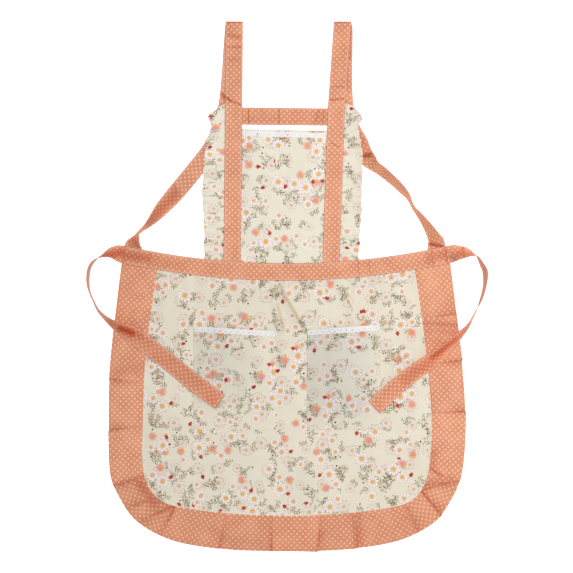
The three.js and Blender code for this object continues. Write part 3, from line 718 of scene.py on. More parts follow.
def floral_cotton():
    """Ditsy flowers: bunches, single stems, sprays and pale outlines, each scattered by itself."""
    g = Graph("floral_cotton")
    paint = g.mix(g.noise(g.cloth, 20.0, 3.0), "d8d2c0", "ded8c7")
    stray = g.noise(g.cloth, 210.0, 1.0, "Color")
    drawn = g.vector("MULTIPLY_ADD", stray, (HAND_DRAWN, HAND_DRAWN, 0.0), g.cloth)

    pale, numbers = scatter(g, drawn, 38, 1, 0.5)
    paint = add_sprig(g, paint, beside(g, pale, 12, -6, 40), 8, 4.2, 0.04, numbers[1])
    paint = add_outline_flower(g, paint, grown(g, pale, numbers[2]), 11)

    spray, numbers = scatter(g, drawn, 54, 2, 0.55)
    paint = add_sprig(g, paint, spray, 13, 5.4, 0.025, numbers[1])
    paint = add_sprig(g, paint, beside(g, spray, 7, 6, -50), 8, 4.4, -0.05, numbers[2])
    paint = add_speck(g, paint, beside(g, spray, -2, 16), 1.5)
    shown = g.ramp(numbers[2], 0.68, 0.69)
    paint = add_bud(g, paint, beside(g, spray, -14, -6, 100), numbers[1], shown)

    stem, numbers = scatter(g, drawn, 62, 3, 0.5)
    shown = g.ramp(numbers[1], 0.6, 0.61)
    paint = add_sprig(g, paint, beside(g, stem, 9, 10, -30), 10, 4.8, 0.04, numbers[2])
    paint = add_bloom(g, paint, beside(g, stem, -13, 8), 8.2, numbers[2], shown)
    paint = add_daisy(g, paint, grown(g, beside(g, stem, -3, -4), numbers[2]), 11.0)

    bunch, numbers = scatter(g, drawn, 72, 4, 0.5)
    paint = add_sprig(g, paint, beside(g, bunch, 4, -18, 75), 11, 4.8, -0.04, numbers[1])
    shown = g.ramp(numbers[2], 0.4, 0.41)
    paint = add_bud(g, paint, beside(g, bunch, 12, 18, -35), numbers[2], shown)
    paint = add_bloom(g, paint, beside(g, bunch, -12, 10, 30), 8.6, numbers[1], shown)
    paint = add_daisy(g, paint, grown(g, beside(g, bunch, -8, -9), numbers[1]), 10.5)
    paint = add_daisy(g, paint, grown(g, beside(g, bunch, 11, 1, 15), numbers[2]), 11.5)
    return weave_finish(g, paint, 0.84, FLORAL_SHADE_TINT, DIMMED)


def lace_cotton():
    g = Graph("lace")
    paint = g.mix(g.noise(g.cloth, 700.0, 3.0), "dddddc", "e9e9e8")
    return weave_finish(g, paint, 0.8, LACE_SHADE_TINT, WHITE)


def thread(name, dark, light):
    """Twisted sewing thread."""
    g = Graph(name)
    roughness = g.linear(g.noise(g.cloth, 2500.0), 0.2, 0.55)
    paint = g.mix(g.noise(g.cloth, 900.0), dark, light)
    g.feed(g.shader, {"Base Color": paint, "Roughness": roughness})
    return g.material


DOTTED = dotted_cotton()
FLORAL = floral_cotton()
LACE = lace_cotton()
PEACH_THREAD = thread("peach_thread", "efcab4", "fae0d0")
CORAL_THREAD = thread("coral_thread", "cf9070", "dca080")
CREAM_THREAD = thread("cream_thread", "d9d2c2", "ece6da")


# Skirt

def border_rows(side):
    return [(side * px + aside, py, side * hx + aside, hy) for px, py, hx, hy, aside in BORDER_SECTIONS]


full_rows = border_rows(-1) + border_rows(1)[-2::-1]
panel_edge = Line([row[:2] for row in full_rows])
hem_edge = Line([row[2:] for row in full_rows])

PANEL_DARK = 0.36  # painted shade: the skirt and its pockets are drawn a little darker than the bib
PANEL_GRID = (170, 150)  # points across and down
PANEL_CROWD = 1.15  # crowds its rows towards the waist
POCKET_MARGIN = 14  # round a pocket, where the cloth below it grows calm
POCKET_CALM = 0.95
EDGE_CALM = (4, 30)  # distances from the edge between which ripples come up
SEAM_ROLL = 0.22  # height of the rolled seam round the panel
SEAM_REACH = 3
SEAM_STITCHES = (1.1, 2.3)  # distances of its rows of stitches from the panel's edge
SEAM_PITCH = 4.0  # between the points of those rows
GATHER_REACH = 26  # length in which the waist's gathers fade
GATHER_HEIGHT = 0.5
GATHER_TURN = 4.1
# painted shade in the hollows of the waist's gathers
GATHER_DARK = 0.2


def pocket_cover(x, y):
    """1 under a pocket, and 0 clear of it."""
    cover = np.zeros_like(x)
    for left, right, mouth_left, mouth_right, foot in POCKETS.values():
        aside = np.minimum(x - left, right - x)
        within = np.minimum((mouth_left + mouth_right) / 2 - y, y - foot)
        cover = np.maximum(cover, smoothstep(np.minimum(aside, within), -POCKET_MARGIN, 0))
    return cover


def seam_row(inset):
    """A row for stitches along the panel's edge, from one end of the waistband to the other."""
    x, y = panel_edge.points.T
    shown = panel_edge.along[y < waist_y(x) - BAND / 2 - 2]
    way = np.arange(shown[0], shown[-1], SEAM_PITCH)
    heading = panel_edge.heading(way)
    plan = panel_edge.at(way) + together(-heading[:, 1], heading[:, 0]) * inset
    level = FLOOR_LEVEL + SEAM_ROLL * bell(inset, SEAM_REACH)
    return on_top(together(*plan.T, level), COTTON)


def make_skirt_panel():
    across = np.linspace(0, 1, PANEL_GRID[0])
    down = np.linspace(1, 0, PANEL_GRID[1]) ** PANEL_CROWD
    end = panel_edge.length
    corner = CORNER_SHARE * end
    top_x = np.interp(across, (0, 1), (-BORDER_SECTIONS[0][0], BORDER_SECTIONS[0][0]))
    top = together(top_x, waist_y(top_x) - 1)[None]
    foot = panel_edge.at(corner + across * (end - 2 * corner))[None]
    left = panel_edge.at(down * corner)[:, None]
    right = panel_edge.at(end - down * corner)[:, None]
    u, v = across[None, :, None], down[:, None, None]
    ends = (1 - v) * ((1 - u) * left[-1] + u * right[-1]) + v * ((1 - u) * left[0] + u * right[0])
    plan = (1 - v) * top + v * foot + (1 - u) * left + u * right - ends
    x, y = plan[..., 0], plan[..., 1]
    below = waist_y(x) - BAND / 2 - y
    clear = smoothstep(below, 0, GATHER_FADE)
    inward = np.minimum(np.minimum(across, 1 - across)[None] * (right - left)[..., 0], y - foot[..., 1])
    calm = (1 - POCKET_CALM * pocket_cover(x, y)) * smoothstep(inward, *EDGE_CALM) * clear
    fading = np.exp(-np.maximum(below, 0) / GATHER_REACH)
    pulled = np.sin(x / GATHER_TURN + 2 * ripple(x, 0 * y, 60, 11)) * fading
    z = FLOOR_LEVEL + GATHER_HEIGHT * (fading + pulled) * clear
    shade = GATHER_DARK * np.maximum(-pulled, 0)
    for *line, lift, reach, line_width, depth in WAIST_FOLDS:
        z = z + lift * bell(from_line(x + reach / 2, y, *line), reach) * clear
        shade = np.maximum(shade, depth * bell(from_line(x, y, *line), line_width))
    z = z + np.maximum(0.65 + 0.45 * ripple(x, y, 95, 12) + 0.2 * ripple(x, y, 26, 13), 0) * calm
    z = z + SEAM_ROLL * bell(inward, SEAM_REACH) * clear
    shade = PANEL_DARK + shade
    piece = cloth_grid("skirt_panel_cloth", together(x, y, z), plan, FLORAL, COTTON, shade)
    rows = [seam_row(inset) for inset in SEAM_STITCHES]
    return piece, make_stitches("skirt_panel_stitches", rows, CREAM_THREAD)


BORDER_PITCH = 2.4
FOLD_REACH = 15  # how far from a fold the cloth on top has come down
HEM_REACH = 28  # how far from a fold the hem has drawn back
FOLD_HEIGHT = 0.5  # pressed down, as a share of the heights in the table
# Painted shade along the folds, on the cloth turned under, towards the border's foot and at its hem
# edge
FOLD_DARK = 1.2  # height of a fold with full shade
TURN_DARK = 0.6  # shade of the cloth that turns under
FOLD_SHADES = {True: (1.8, 0.45), False: (7.0, 0.7)}  # reach and depth, by whether the side is on top
HEM_DARK = 0.16  # painted shade of the border along the foot of the skirt
HEM_DARK_DOWN = (330, 430)  # how far down the skirt that shade comes up
HEM_EDGE_DARK = 0.3
BORDER_ROWS = 27
HEM_ROW = 0.93  # share of the border's width where the hem is sewn
FLUTE_GAP = 7  # length of print that is hidden in a fold


def border_columns(rows):
    """Columns across the border. For each: length along the panel's edge and the hem, sideways step
    for each millimetre of height, its flute, and down its rows the height, shade and how far it stands
    out."""
    first = (0, 0, 0, 0, "before", 0)
    last = (panel_edge.length, hem_edge.length, 0, 0, "after", 0)
    stops = [first, *BORDER_FOLDS, last]
    columns, shaped = [], []
    for flute, (start, end) in enumerate(zip(stops, stops[1:])):
        count = max(8, round((end[1] - start[1]) / BORDER_PITCH))
        share = np.linspace(0, 1, count + 1)[None]
        span = (end[0] - start[0]) * (1 - rows) + (end[1] - start[1]) * rows
        lift = shade = out = np.zeros((len(rows), count + 1))
        for fold, away, upper in ((start, share, "after"), (end, 1 - share, "before")):
            away = away * span
            over = fold[4] == upper
            high = FOLD_HEIGHT * (fold[2] + (fold[3] - fold[2]) * rows)
            dark = np.clip(high / FOLD_DARK, 0, 1)
            if over:
                lift = lift + high * 0.5 * (bell(away, FOLD_REACH) + (1 - away / span) ** 2)
                out = out + fold[5] * rows**2 * np.exp(-away / HEM_REACH)
            reach, depth = FOLD_SHADES[over]
            shade = np.maximum(shade, depth * dark * np.exp(-away / reach))
        along = [start[i] + (end[i] - start[i]) * share[0] for i in (0, 1)]
        columns.append(together(*along, 0, flute))
        shaped.append(np.stack([lift, shade, out]))
        if end is last:
            break
        before = end[4] == "before"
        turn = FOLD_TURN if before else [(-step, up) for step, up in FOLD_TURN[::-1]]
        for step, up in turn[1:-1]:
            columns.append([(end[0], end[1], step, flute if before else flute + 1)])
            shaped.append(np.stack([high * up, TURN_DARK * dark, end[5] * rows**2 * up]))
    return np.concatenate(columns).T, np.concatenate(shaped, axis=2)


def make_skirt_border():
    rows = np.sort(np.append(np.linspace(1, 0, BORDER_ROWS), HEM_ROW))[::-1][:, None]
    (panel, hem, step, flute), (lift, shade, out) = border_columns(rows)
    seam_points, hem_points = panel_edge.at(panel), hem_edge.at(hem)
    heading = hem_edge.heading(hem)
    outward = together(heading[:, 1], -heading[:, 0])
    plan = seam_points + (hem_points - seam_points) * rows[..., None]
    plan = plan + heading * (step * lift)[..., None] + outward * out[..., None]
    x, y = plan[..., 0], plan[..., 1]
    marked, ridge = creased(x, y, "skirt_border")
    # Painted shade from folds, creases, the hem edge and the foot of the skirt
    shade = np.maximum(np.maximum(shade, marked), HEM_EDGE_DARK * (rows == 1))
    shade = shade + HEM_DARK * smoothstep(-y, *HEM_DARK_DOWN) * (1 - shade)
    wave = np.maximum(0.45 + 0.45 * ripple(x, y, 48, 21), 0) * smoothstep(rows, 0, 0.2) * (step == 0)
    under_band = smoothstep(waist_y(x) - BAND / 2 - y, -6, 8)
    z = FLOOR_LEVEL + (lift + wave + ridge * 2 + 0.25 * smoothstep(rows, 0, 0.06)) * under_band
    points = together(x, y, z)
    cloth = np.zeros((len(rows) - 1, len(panel) - 1, 4, 2))
    hem_stitches = []
    hem_row = int(np.flatnonzero(rows[:, 0] == HEM_ROW)[0])
    run = 0.0
    for number in range(int(flute.max()) + 1):
        members = np.flatnonzero((flute == number) & (step == 0))
        start, end = hem_points[members[0]], hem_points[members[-1]]
        length = np.linalg.norm(end - start)
        axis = (end - start) / length
        side = np.array([-axis[1], axis[0]])
        local = together((plan - start) @ axis + run, (plan - start) @ side)
        for i in np.flatnonzero(flute[:-1] == number):
            corners = [local[:-1, i], local[:-1, i + 1], local[1:, i + 1], local[1:, i]]
            cloth[:, i] = np.stack(corners, axis=1)
        run += length + FLUTE_GAP
        hem_stitches.append(on_top(points[hem_row, members], COTTON))
    piece = cloth_grid("skirt_border_cloth", points, cloth, DOTTED, COTTON, shade)
    return piece, make_stitches("skirt_border_stitches", hem_stitches, CORAL_THREAD)


# Strips: waistband, straps, bar and ties

STITCH_INSET = 0.86  # share of a band's half width where its edges are sewn
half_places = [0, 0.2, 0.45, 0.7, STITCH_INSET, 0.95, 1]
ACROSS = np.array([-place for place in half_places[:0:-1]] + half_places)
MIDDLE = len(half_places) - 1
SEWN = [int(i) for i in np.flatnonzero(np.isclose(np.abs(ACROSS), STITCH_INSET))]
SECTION_PITCH = 1.3
SEAM_GROOVE = 0.1  # depth of a sewn line, and its half width as a share of the band's
GROOVE_REACH = 0.05
EDGE_DROP = 0.12
EDGE_DARK = 0.75  # shade of a band's rolled edges
BAND_RIPPLE = 0.05


def make_band(
    node, middle, across, marks=None, shape=None, dark=0.0, painted_light=0.0, faces=(1,), end_row=None
):
    """A band through sections, and its edge stitches. across points to the right of the way along it,
    seen from its face. marks and shape give the creases at its points and move them. end_row is a
    section that is sewn across."""
    along = lengths_along(middle)
    normal = unit(np.cross(across, unit(np.gradient(middle, axis=0))))
    places = ACROSS * BAND / 2
    points = middle[:, None] + across[:, None] * places[:, None]
    if shape:
        points = shape(points)
    x, y = points[..., 0], points[..., 1]
    shade, ridge = marks(x, y) if marks else creased(x, y, node)
    height = BAND_RIPPLE * ripple(along[:, None], places[None], 30, 31)
    height = height - SEAM_GROOVE * bell(np.abs(ACROSS) - STITCH_INSET, GROOVE_REACH)
    height = height - EDGE_DROP * np.abs(ACROSS) ** 12 + ridge * np.sign(normal[:, 2:])
    points = points + normal[:, None] * height[..., None]
    # Painted shade from creases, the band's even darkening and its rolled edges
    shade = np.maximum(np.maximum(shade, dark), EDGE_DARK * np.abs(ACROSS) ** 18)
    painted_light = np.broadcast_to(painted_light, shade.shape)
    cloth = together(along[:, None], places[None])
    piece = cloth_grid(f"{node}_cloth", points, cloth, DOTTED, BAND_THICK, shade, painted_light)
    rows = [on_top(points[:, i], BAND_THICK, face * normal) for i in SEWN for face in faces]
    if end_row:
        sewn = points[end_row, SEWN[0] : SEWN[1] + 1]
        rows += [on_top(sewn, BAND_THICK, face * normal[end_row]) for face in faces]
    return piece, make_stitches(f"{node}_stitches", rows, PEACH_THREAD)


def waist_middle(angle):
    return WAIST_RADIUS * np.sin(angle), WAIST_MIDDLE + WAIST_RADIUS * (1 - np.cos(angle))


# Painted shade over the waistband, over the back bar and over the straps towards the shoulders
WAIST_DARK = 0.1
BAR_DARK = 0.16
SHOULDER_DARK = 0.13
SHOULDER_FROM = (310, 380)  # y between which that shade comes up
BAR_RISE = {"left": (60, 85), "right": (58, 80)}  # distances from the middle where the bar climbs
# Tilt of a rolled band, 1 on its edge, where its steep shade comes, light shows through and fades again
STEEP_TILT = (0.75, 0.97)
LIT_TILT = (0.1, 0.55)
UPRIGHT_TILT = (0.85, 1)
STRAP_STEEP_DARK = 0.08  # painted shade of a back strap that stands on its edge


def make_waistband():
    angle = np.linspace(-WAIST_ANGLE, WAIST_ANGLE, round(2 * WAIST_HALF / SECTION_PITCH))
    from_end = (WAIST_ANGLE - np.abs(angle)) * WAIST_RADIUS
    z = WAIST_LEVEL + WAIST_END_RISE * smoothstep(-from_end, -WAIST_END, -WAIST_END + 14)
    across = together(np.sin(angle), -np.cos(angle), 0 * angle)
    return make_band("waistband", together(*waist_middle(angle), z), across, dark=WAIST_DARK)


def make_bar():
    x = np.arange(BAR_LEFT, BAR_RIGHT, SECTION_PITCH)
    near_ends = np.maximum(smoothstep(-x, *BAR_RISE["left"]), smoothstep(x, *BAR_RISE["right"]))
    y = np.interp(x, (BAR_LEFT, BAR_RIGHT), (BAR_Y_LEFT, BAR_Y_RIGHT))
    middle = together(x, y, BACK_LEVEL + (BAND_THICK + GAP) * near_ends)
    return make_band("back_bar", middle, np.tile([0.0, -1.0, 0.0], (len(x), 1)), dark=BAR_DARK)


def rolled(rows, turn, rest):
    """Sections of a strip along x, y and roll, whose lower edge stays at the height of rest."""
    line = Line(rows)
    x, y, roll = line.at(np.linspace(0, line.length, round(line.length / SECTION_PITCH))).T
    rise = np.radians(np.clip(roll, 0, 180))
    heading = unit(together(np.gradient(x), np.gradient(y)))
    flat = np.cos(rise)
    across = together(heading[:, 1] * turn * flat, -heading[:, 0] * turn * flat, np.sin(rise))
    return together(x, y, rest + np.sin(rise) * BAND / 2), across


def tilt_of(across):
    return np.abs(across[:, 2:3])


def steep_shade(across, flat, steep):
    """Shade of a rolled band, from its shade where it lies flat and where it stands on its edge."""
    return flat + (steep - flat) * smoothstep(tilt_of(across), *STEEP_TILT)


def lit_through(across):
    return smoothstep(tilt_of(across), *LIT_TILT)


def strap_level(y):
    climb = (STRAP_OVER_BACK - STRAP_LEVEL) * smoothstep(y, *OVER_BACK_FROM)
    return STRAP_LEVEL + climb - (STRAP_OVER_BACK - STRAP_AT_SHOULDER) * smoothstep(y, *OVER_BACK_TO)


FOOT_SLANT = 25  # length in which a front strap takes up the waistband's slope


def make_strap(side):
    node = f"shoulder_strap_{side}"
    foot = waist_y(strap_x(side, 0), BAND / 2) + 0.15
    radius = (STRAP_AT_SHOULDER - BACK_LEVEL) / 2
    fold_y = STRAP_TOP - radius - BAND_THICK / 2
    y = np.arange(foot, fold_y, SECTION_PITCH)
    front = together(strap_x(side, y), y, strap_level(y))
    turn = np.linspace(0, math.pi, 12)[1:-1]
    fold_z = BACK_LEVEL + radius * (1 + np.cos(turn))
    fold = together(strap_x(side, fold_y), fold_y + radius * np.sin(turn), fold_z)
    back, back_across = rolled(STRAP_BACK[side], -1, BACK_LEVEL)
    middle = np.vstack([front, fold, back])
    across = np.vstack([np.tile([1.0, 0.0, 0.0], (len(front) + len(fold), 1)), back_across])
    in_front = (np.arange(len(middle)) < len(front))[:, None]

    def marks(x, y):
        pairs = zip(creased(x, y, node), creased(x, y, f"{node}_back"))
        return [np.where(in_front, fore, aft) for fore, aft in pairs]

    def shape(points):
        x, y = points[:, MIDDLE : MIDDLE + 1, :2].transpose(2, 0, 1)
        slope = waist_y(points[..., 0], BAND / 2) - waist_y(x, BAND / 2)
        points[..., 1] += slope * in_front * smoothstep(foot + FOOT_SLANT - y, 0, FOOT_SLANT)
        return points

    # Painted shade near the shoulders and where the strap stands; painted light where it is lit through
    shoulder = SHOULDER_DARK * smoothstep(middle[:, 1:2], *SHOULDER_FROM)
    dark = np.maximum(steep_shade(across, 0, STRAP_STEEP_DARK), shoulder)
    return make_band(node, middle, across, marks, shape, dark, lit_through(across), faces=(1, -1))


RAY_FROM = 0.2  # height, in metres, from which the ground is looked for


def ground_finder(pieces):
    """Height of the highest of these pieces below a place in plan."""
    trees = []
    for piece in pieces:
        corners = [v.co[:] for v in piece.data.vertices]
        trees.append(BVHTree.FromPolygons(corners, [p.vertices[:] for p in piece.data.polygons]))

    def height(x, y):
        hits = [tree.ray_cast((x * MM, y * MM, RAY_FROM), (0, 0, -1))[0] for tree in trees]
        return max([0.0] + [hit.z / MM + COTTON / 2 for hit in hits if hit])

    return height


TIE_DARK = {"left": 0.35, "right": 0.22}  # painted shade where a tie lies flat
# painted shade where a tie stands on its edge
TIE_STEEP_DARK = 0.25
TIE_END_ROW = -4  # section that is sewn across a tie's end
TIE_SOFT = 21  # sections over which a tie bridges what lies below it


def make_tie(side, ground):
    outward = -1 if side == "left" else 1
    start = waist_middle(outward * (WAIST_ANGLE - TIE_TUCK / WAIST_RADIUS))
    middle, across = rolled([(*start, 0)] + TIES[side], 1, 0)
    below = []
    for place, spread in zip(middle[:, :2], across[:, :2] * BAND / 2):
        below.append(max(ground(*(place + spread * share)) for share in (-1, -0.5, 0, 0.5, 1)))

    def windows(values):
        padded = np.pad(values, TIE_SOFT // 2, mode="edge")
        return np.lib.stride_tricks.sliding_window_view(padded, TIE_SOFT)

    highest = windows(below).max(axis=1)
    middle[:, 2] += windows(highest).mean(axis=1) + BAND_THICK / 2 + GAP
    # Painted shade, and painted light where the tie stands up and is lit through
    dark = steep_shade(across, TIE_DARK[side], TIE_STEEP_DARK)
    painted_light = lit_through(across) * (1 - smoothstep(tilt_of(across), *UPRIGHT_TILT))
    node = f"waist_tie_{side}"
    return make_band(node, middle, across, dark=dark, painted_light=painted_light, faces=(1, -1), end_row=TIE_END_ROW)


# Bib

BIB_PRINT_SHIFT = (31, -17)
BIB_GRID = (90, 120)


def bib_sides(y):
    return strap_x("left", y) + BAND / 2 - BIB_TUCK, strap_x("right", y) - BAND / 2 + BIB_TUCK


def bib_z(x, y):
    left, right = bib_sides(y)
    u = (x - left) / (right - left)
    free = smoothstep(u, 0.04, 0.16) * smoothstep(1 - u, 0.04, 0.16)
    free = free * smoothstep(y - waist_y(x), 20, 55)
    return FLOOR_LEVEL + (0.8 + 0.5 * ripple(x, y * 0.5, 70, 41) + 0.2 * ripple(x, y, 24, 42)) * free


def make_bib_panel():
    u = np.linspace(0, 1, BIB_GRID[0])[None]
    v = np.linspace(0, 1, BIB_GRID[1])[:, None]
    foot_x = strap_x("left", 0) + (strap_x("right", 0) - strap_x("left", 0)) * u
    top = BIB_TOP_LEFT + (BIB_TOP_RIGHT - BIB_TOP_LEFT) * u
    y = waist_y(foot_x) + 1 + (top - waist_y(foot_x) - 1) * v
    left, right = bib_sides(y)
    x = left + (right - left) * u
    cloth = together(x, y) + BIB_PRINT_SHIFT
    return cloth_grid("bib_panel_cloth", together(x, y, bib_z(x, y)), cloth, FLORAL, COTTON)


RUFFLE_GRID = (330, 22)
FLUTE_LENGTH = 29  # of the ruffles' soft flutes, along their outer edge
FLUTE_HEIGHT = 0.9
# painted shade in the flutes' hollows
FLUTE_DARK = 0.8
GATHER_LENGTH = 11  # of the gathers along their seam
RUFFLE_GATHER_HEIGHT = 0.5
# painted shade in the gathers' hollows
RUFFLE_GATHER_DARK = 0.6


def make_ruffle(side):
    outward = -1 if side == "left" else 1
    line = Line([(x, y, seam) for seam, x, y in RUFFLE_SECTIONS[side]])
    way = np.linspace(0, line.length, RUFFLE_GRID[0])
    edge_x, edge_y, seam_y = line.at(way).T
    rows = np.linspace(0, 1, RUFFLE_GRID[1])[:, None]
    seam_x = strap_x(side, seam_y) + outward * (BAND / 2 - RUFFLE_TUCK)
    y = seam_y + (edge_y - seam_y) * rows
    x = seam_x + (edge_x - seam_x) * rows
    above = smoothstep(y - waist_y(edge_x) - BAND / 2, -4, GATHER_FADE)
    waves = sum(lift * bell(y - place, RUFFLE_FOLD_REACH) for place, lift in RUFFLE_FOLDS[side])
    pulled = 2.2 * ripple(way, 0 * way, 70, 51)
    gathers = np.sin(way * 2 * math.pi / GATHER_LENGTH + pulled) * np.exp(-rows * 2.2)
    flutes = np.sin(way * 2 * math.pi / FLUTE_LENGTH + 1.7 * pulled) * rows**1.5
    rise = rows**2 * waves + RUFFLE_GATHER_HEIGHT * (1 + gathers) * smoothstep(rows, 0, 0.12)
    rise = rise + FLUTE_HEIGHT * (flutes + rows**1.5)
    z = FLOOR_LEVEL + RUFFLE_RISE * smoothstep(y, *OVER_BACK_FROM) + rise * above
    x = x + outward * (0.7 * np.sin(way / 5.2) + 0.8 * ripple(way, 0 * way, 16, 52)) * rows**3
    # Painted shade in the hollows of the gathers and flutes
    shade = RUFFLE_GATHER_DARK * np.maximum(-gathers, 0) + FLUTE_DARK * np.maximum(-flutes, 0) ** 2
    cloth = together(y * 1.25 + 200, x + 77 * outward)
    order = slice(None, None, -1) if side == "left" else slice(None)
    points, cloth, shade = (grid[::-1, order] for grid in (together(x, y, z), cloth, shade))
    return cloth_grid(f"bib_ruffle_{side}_cloth", points, cloth, FLORAL, COTTON, shade)


# Lace: cell of its mesh, and its holes as place along a scallop, place down it and radius
LACE_CELL = 0.35
LACE_HOLES = [(0, 5.7, 1.25)]
for side in (-1, 1):
    LACE_HOLES += [(side * 0.3, 5.2, 0.65), (side * 0.19, 8.0, 0.55)]
SCALLOP = 1.7  # height of a scallop
HEADER_HOLE = (2.3, 0.55)  # place down and radius of the small holes, four to a scallop
LACE_LIFT = 0.2
BEAD_HEIGHT = 0.12
RIM_PROBE = 0.02  # step for the slope of the pattern at the rim
RIM_MOVE = 0.12  # farthest move of the rim at a time


def lace_pattern(along, down, pitch):
    """Positive on thread and negative in a hole or outside, roughly in millimetres."""
    beat = (along / pitch) % 1 - 0.5
    foot = LACE_DEPTH - SCALLOP + SCALLOP * np.sqrt(np.maximum(1 - (2 * beat) ** 2, 0))
    solid = np.minimum(foot - down, down + 0.01)
    for place, low, radius in LACE_HOLES:
        solid = np.minimum(solid, np.hypot((beat - place) * pitch, down - low) - radius)
    small = ((along / (pitch / 4)) % 1 - 0.5) * pitch / 4
    return np.minimum(solid, np.hypot(small, down - HEADER_HOLE[0]) - HEADER_HOLE[1])


def make_lace(name, length, place, dark=0.0):
    """A strip of lace. place(along, down) puts its points on the cloth that carries it. dark is an even
    painted shade over it.
    """
    pitch = length / round(length / LACE_PITCH)
    ways = np.arange(0, length, LACE_CELL), np.arange(0, LACE_DEPTH + 0.2, LACE_CELL)
    along, down = np.meshgrid(*ways)
    quads = quads_of(*along.shape)
    flat = together(along.ravel(), down.ravel())
    solid = lace_pattern(*flat.T, pitch)
    middle = lace_pattern(*flat[quads].mean(axis=1).T, pitch)
    quads = quads[(middle > 0) & (solid[quads] > -LACE_CELL * 0.7).all(axis=1)]
    used, quads = np.unique(quads, return_inverse=True)
    quads = quads.reshape(-1, 4)
    flat = flat[used]
    edges = np.sort(np.concatenate([quads[:, [i, (i + 1) % 4]] for i in range(4)]), axis=1)
    pairs, uses = np.unique(edges, axis=0, return_counts=True)
    rim = np.unique(pairs[uses == 1])
    for _ in range(3):  # moves the rim on to the pattern's outline
        here = flat[rim]
        value = lace_pattern(*here.T, pitch)
        probes = [lace_pattern(*(here + d).T, pitch) for d in ((RIM_PROBE, 0), (0, RIM_PROBE))]
        slope = together(*(probe - value for probe in probes)) / RIM_PROBE
        size = np.maximum((slope**2).sum(axis=1), 0.2)
        move = -(value / size)[:, None] * slope
        inner = (here[:, 0] > 0.01) & (here[:, 0] < flat[:, 0].max() - 0.01)
        flat[rim] += np.clip(move, -RIM_MOVE, RIM_MOVE) * inner[:, None]
    points = place(*flat.T)
    bead = BEAD_HEIGHT * np.sin(flat[:, 0] * 2 * math.pi / (pitch / 4)) * smoothstep(flat[:, 1], 6, 9)
    points[:, 2] += (COTTON + LACE_THICK) / 2 + LACE_LIFT + bead
    quads = quads[:, ::-1]
    piece = mesh_object(name, points, quads, flat[quads], LACE, np.full(len(points), dark))
    thicken(piece, LACE_THICK)
    return piece


def make_bib_lace():
    left = strap_x("left", BIB_TOP_LEFT) + BAND / 2 + 0.3
    length = strap_x("right", BIB_TOP_RIGHT) - BAND / 2 - 0.3 - left

    def place(along, down):
        top = BIB_TOP_LEFT + (BIB_TOP_RIGHT - BIB_TOP_LEFT) * along / length - BIB_LACE_DROP
        return together(left + along, top - down, bib_z(left + along, top - down))

    return make_lace("bib_lace_cloth", length, place)


# Pockets

POCKET_LEVEL = 1.0
POCKET_GRID = (80, 95)
# Painted shade, cooler and darker, over a pocket's upper part: strength, and where it starts to fade
# across and down
POCKET_DIM = {"left": (0.65, 0.5, 0.5), "right": (1.0, 0.7, 0.68)}
POCKET_PRINT_SHIFT = {"left": (43, 29), "right": (-57, 88)}
# painted shade over the pockets' lace
POCKET_LACE_DARK = 0.45
POCKET_SEAM = 3  # of its stitches from its edge
PRESSED_THIN = 0.33  # share of its thickness left at its pressed edges
PRESSED_DROP = 0.18
PRESSED_REACH = 1.2


def pocket_size(side):
    left, right, mouth_left, mouth_right, foot = POCKETS[side]
    return right - left, (mouth_left + mouth_right) / 2 - foot


def pressed(side, across, down):
    """1 along a pocket's sewn edges, fading inwards."""
    width, depth = pocket_size(side)
    from_edge = np.minimum(np.minimum(across, 1 - across) * width, (1 - down) * depth)
    return np.exp(-from_edge / PRESSED_REACH)


def pocket_surface(side, across, down):
    left, right, mouth_left, mouth_right, foot = POCKETS[side]
    mouth = mouth_left + (mouth_right - mouth_left) * across
    x = left + (right - left) * across
    y = mouth + (foot - mouth) * down
    pillow = np.maximum(np.sin(math.pi * across), 0) ** 1.5 * np.maximum(1 - down**2, 0) ** 1.5
    z = POCKET_LEVEL + POCKET_RISE * pillow + 0.5 * ripple(x, y, 44, 61) * np.clip(pillow * 2, 0, 1)
    return together(x, y, z - PRESSED_DROP * pressed(side, across, down))


def make_pocket(side):
    width, depth = pocket_size(side)
    across = np.linspace(0, 1, POCKET_GRID[0])[None]
    down = np.linspace(1, 0, POCKET_GRID[1])[:, None]
    points = pocket_surface(side, across, down)
    cloth = points[..., :2] + POCKET_PRINT_SHIFT[side]
    # Painted shade: even, as over the skirt, and cooler and darker over the pocket's upper part
    shade = np.full(points.shape[:2], PANEL_DARK)
    strength, fade_across, fade_down = POCKET_DIM[side]
    painted_light = strength * (1 - smoothstep(down, fade_down, fade_down + 0.45))
    painted_light = painted_light * (1 - 0.8 * smoothstep(across, fade_across, fade_across + 0.4))
    piece = cloth_grid(f"pocket_{side}_cloth", points, cloth, FLORAL, COTTON, shade, painted_light)
    thin_edges(piece, 1 - (1 - PRESSED_THIN) * pressed(side, across, down))

    inset, low = POCKET_SEAM / width, 1 - POCKET_SEAM / depth
    ways = [(inset, np.linspace(0.01, low, 90)), (np.linspace(inset, 1 - inset, 80), low)]
    ways.append((1 - inset, np.linspace(low, 0.01, 90)))
    rows = [on_top(pocket_surface(side, *way), COTTON) for way in ways]
    stitches = make_stitches(f"pocket_{side}_stitches", rows, CREAM_THREAD)

    def place(along, down):
        return pocket_surface(side, (along + LACE_INSET) / width, down / depth)

    lace = make_lace(f"pocket_lace_{side}_cloth", width - 2 * LACE_INSET, place, POCKET_LACE_DARK)
    return piece, stitches, lace


# Stage

KEY_PLACE = (1.4, 0.35, 1.9)
KEY_SIZE = 2.2
KEY_ENERGY = 51
SKY = 0.62
FLOOR_COLOUR = (0.94, 0.94, 0.94, 1.0)
FLOOR_GLOW = 0.4
FLOOR_REACH = 6.0


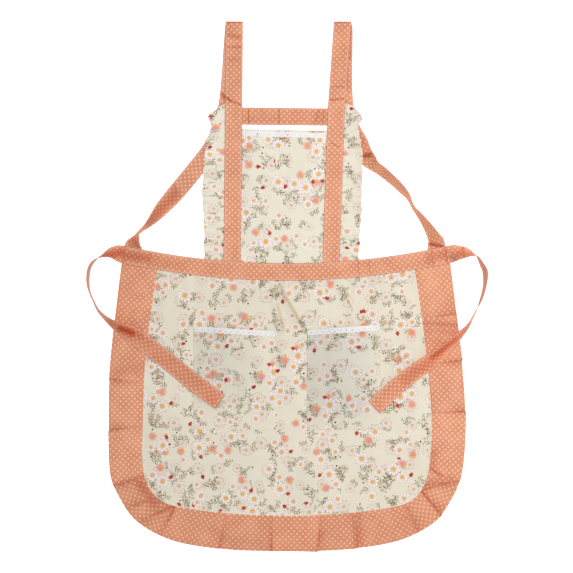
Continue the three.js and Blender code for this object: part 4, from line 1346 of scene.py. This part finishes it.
def make_stage():
    floor = bpy.data.meshes.new("floor")
    corners = [(x * FLOOR_REACH, y * FLOOR_REACH, 0) for x, y in ((-1, -1), (1, -1), (1, 1), (-1, 1))]
    floor.from_pydata(corners, [], [(0, 1, 2, 3)])
    g = Graph("floor")
    g.feed(g.shader, {"Base Color": FLOOR_COLOUR, "Roughness": 0.9})
    g.feed(g.shader, {"Emission Color": WHITE, "Emission Strength": FLOOR_GLOW})
    floor.materials.append(g.material)
    put("floor", floor)

    camera = bpy.data.cameras.new("camera")
    camera.sensor_width = SENSOR
    camera.lens = SENSOR * CAMERA_HEIGHT / (PICTURE * MM_PER_PIXEL * MM)
    bpy.context.scene.camera = put("camera", camera, (*CAMERA_MIDDLE, CAMERA_HEIGHT))

    lamp = bpy.data.lights.new("key", "AREA")
    lamp.energy = KEY_ENERGY
    lamp.size = KEY_SIZE
    lamp.use_shadow = False
    put("key", lamp, KEY_PLACE).rotation_euler = Vector(KEY_PLACE).to_track_quat("Z", "Y").to_euler()

    world = bpy.data.worlds.new("studio")
    world.use_nodes = True
    sky = world.node_tree.nodes["Background"]
    sky.inputs["Color"].default_value = WHITE
    sky.inputs["Strength"].default_value = SKY
    bpy.context.scene.world = world
    bpy.context.scene.view_settings.view_transform = "Standard"


make_stage()

SIDES = ("left", "right")


def add(node, slot, piece, stitches=None):
    """Puts a piece and its stitches in the place of a node."""
    extra = [stitches] if stitches else []
    for part in [piece, *extra]:
        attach(part, "root")
    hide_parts(node)


panel, panel_stitches = make_skirt_panel()
add("skirt_panel", "floral_cotton", panel, panel_stitches)
border, border_stitches = make_skirt_border()
add("skirt_border", "dotted_cotton", border, border_stitches)
add("bib_panel", "floral_cotton", make_bib_panel())
add("bib_lace", "lace", make_bib_lace())
add("waistband", "dotted_cotton", *make_waistband())
add("back_bar", "dotted_cotton", *make_bar())
resting = [panel, border]
for side in SIDES:
    add(f"shoulder_strap_{side}", "dotted_cotton", *make_strap(side))
    add(f"bib_ruffle_{side}", "floral_cotton", make_ruffle(side))
    pocket, stitches, lace = make_pocket(side)
    add(f"pocket_{side}", "floral_cotton", pocket, stitches)
    add(f"pocket_lace_{side}", "lace", lace)
    resting += [pocket, lace]
ground = ground_finder(resting)
for side in SIDES:
    add(f"waist_tie_{side}", "dotted_cotton", *make_tie(side, ground))

bpy.context.view_layer.update()
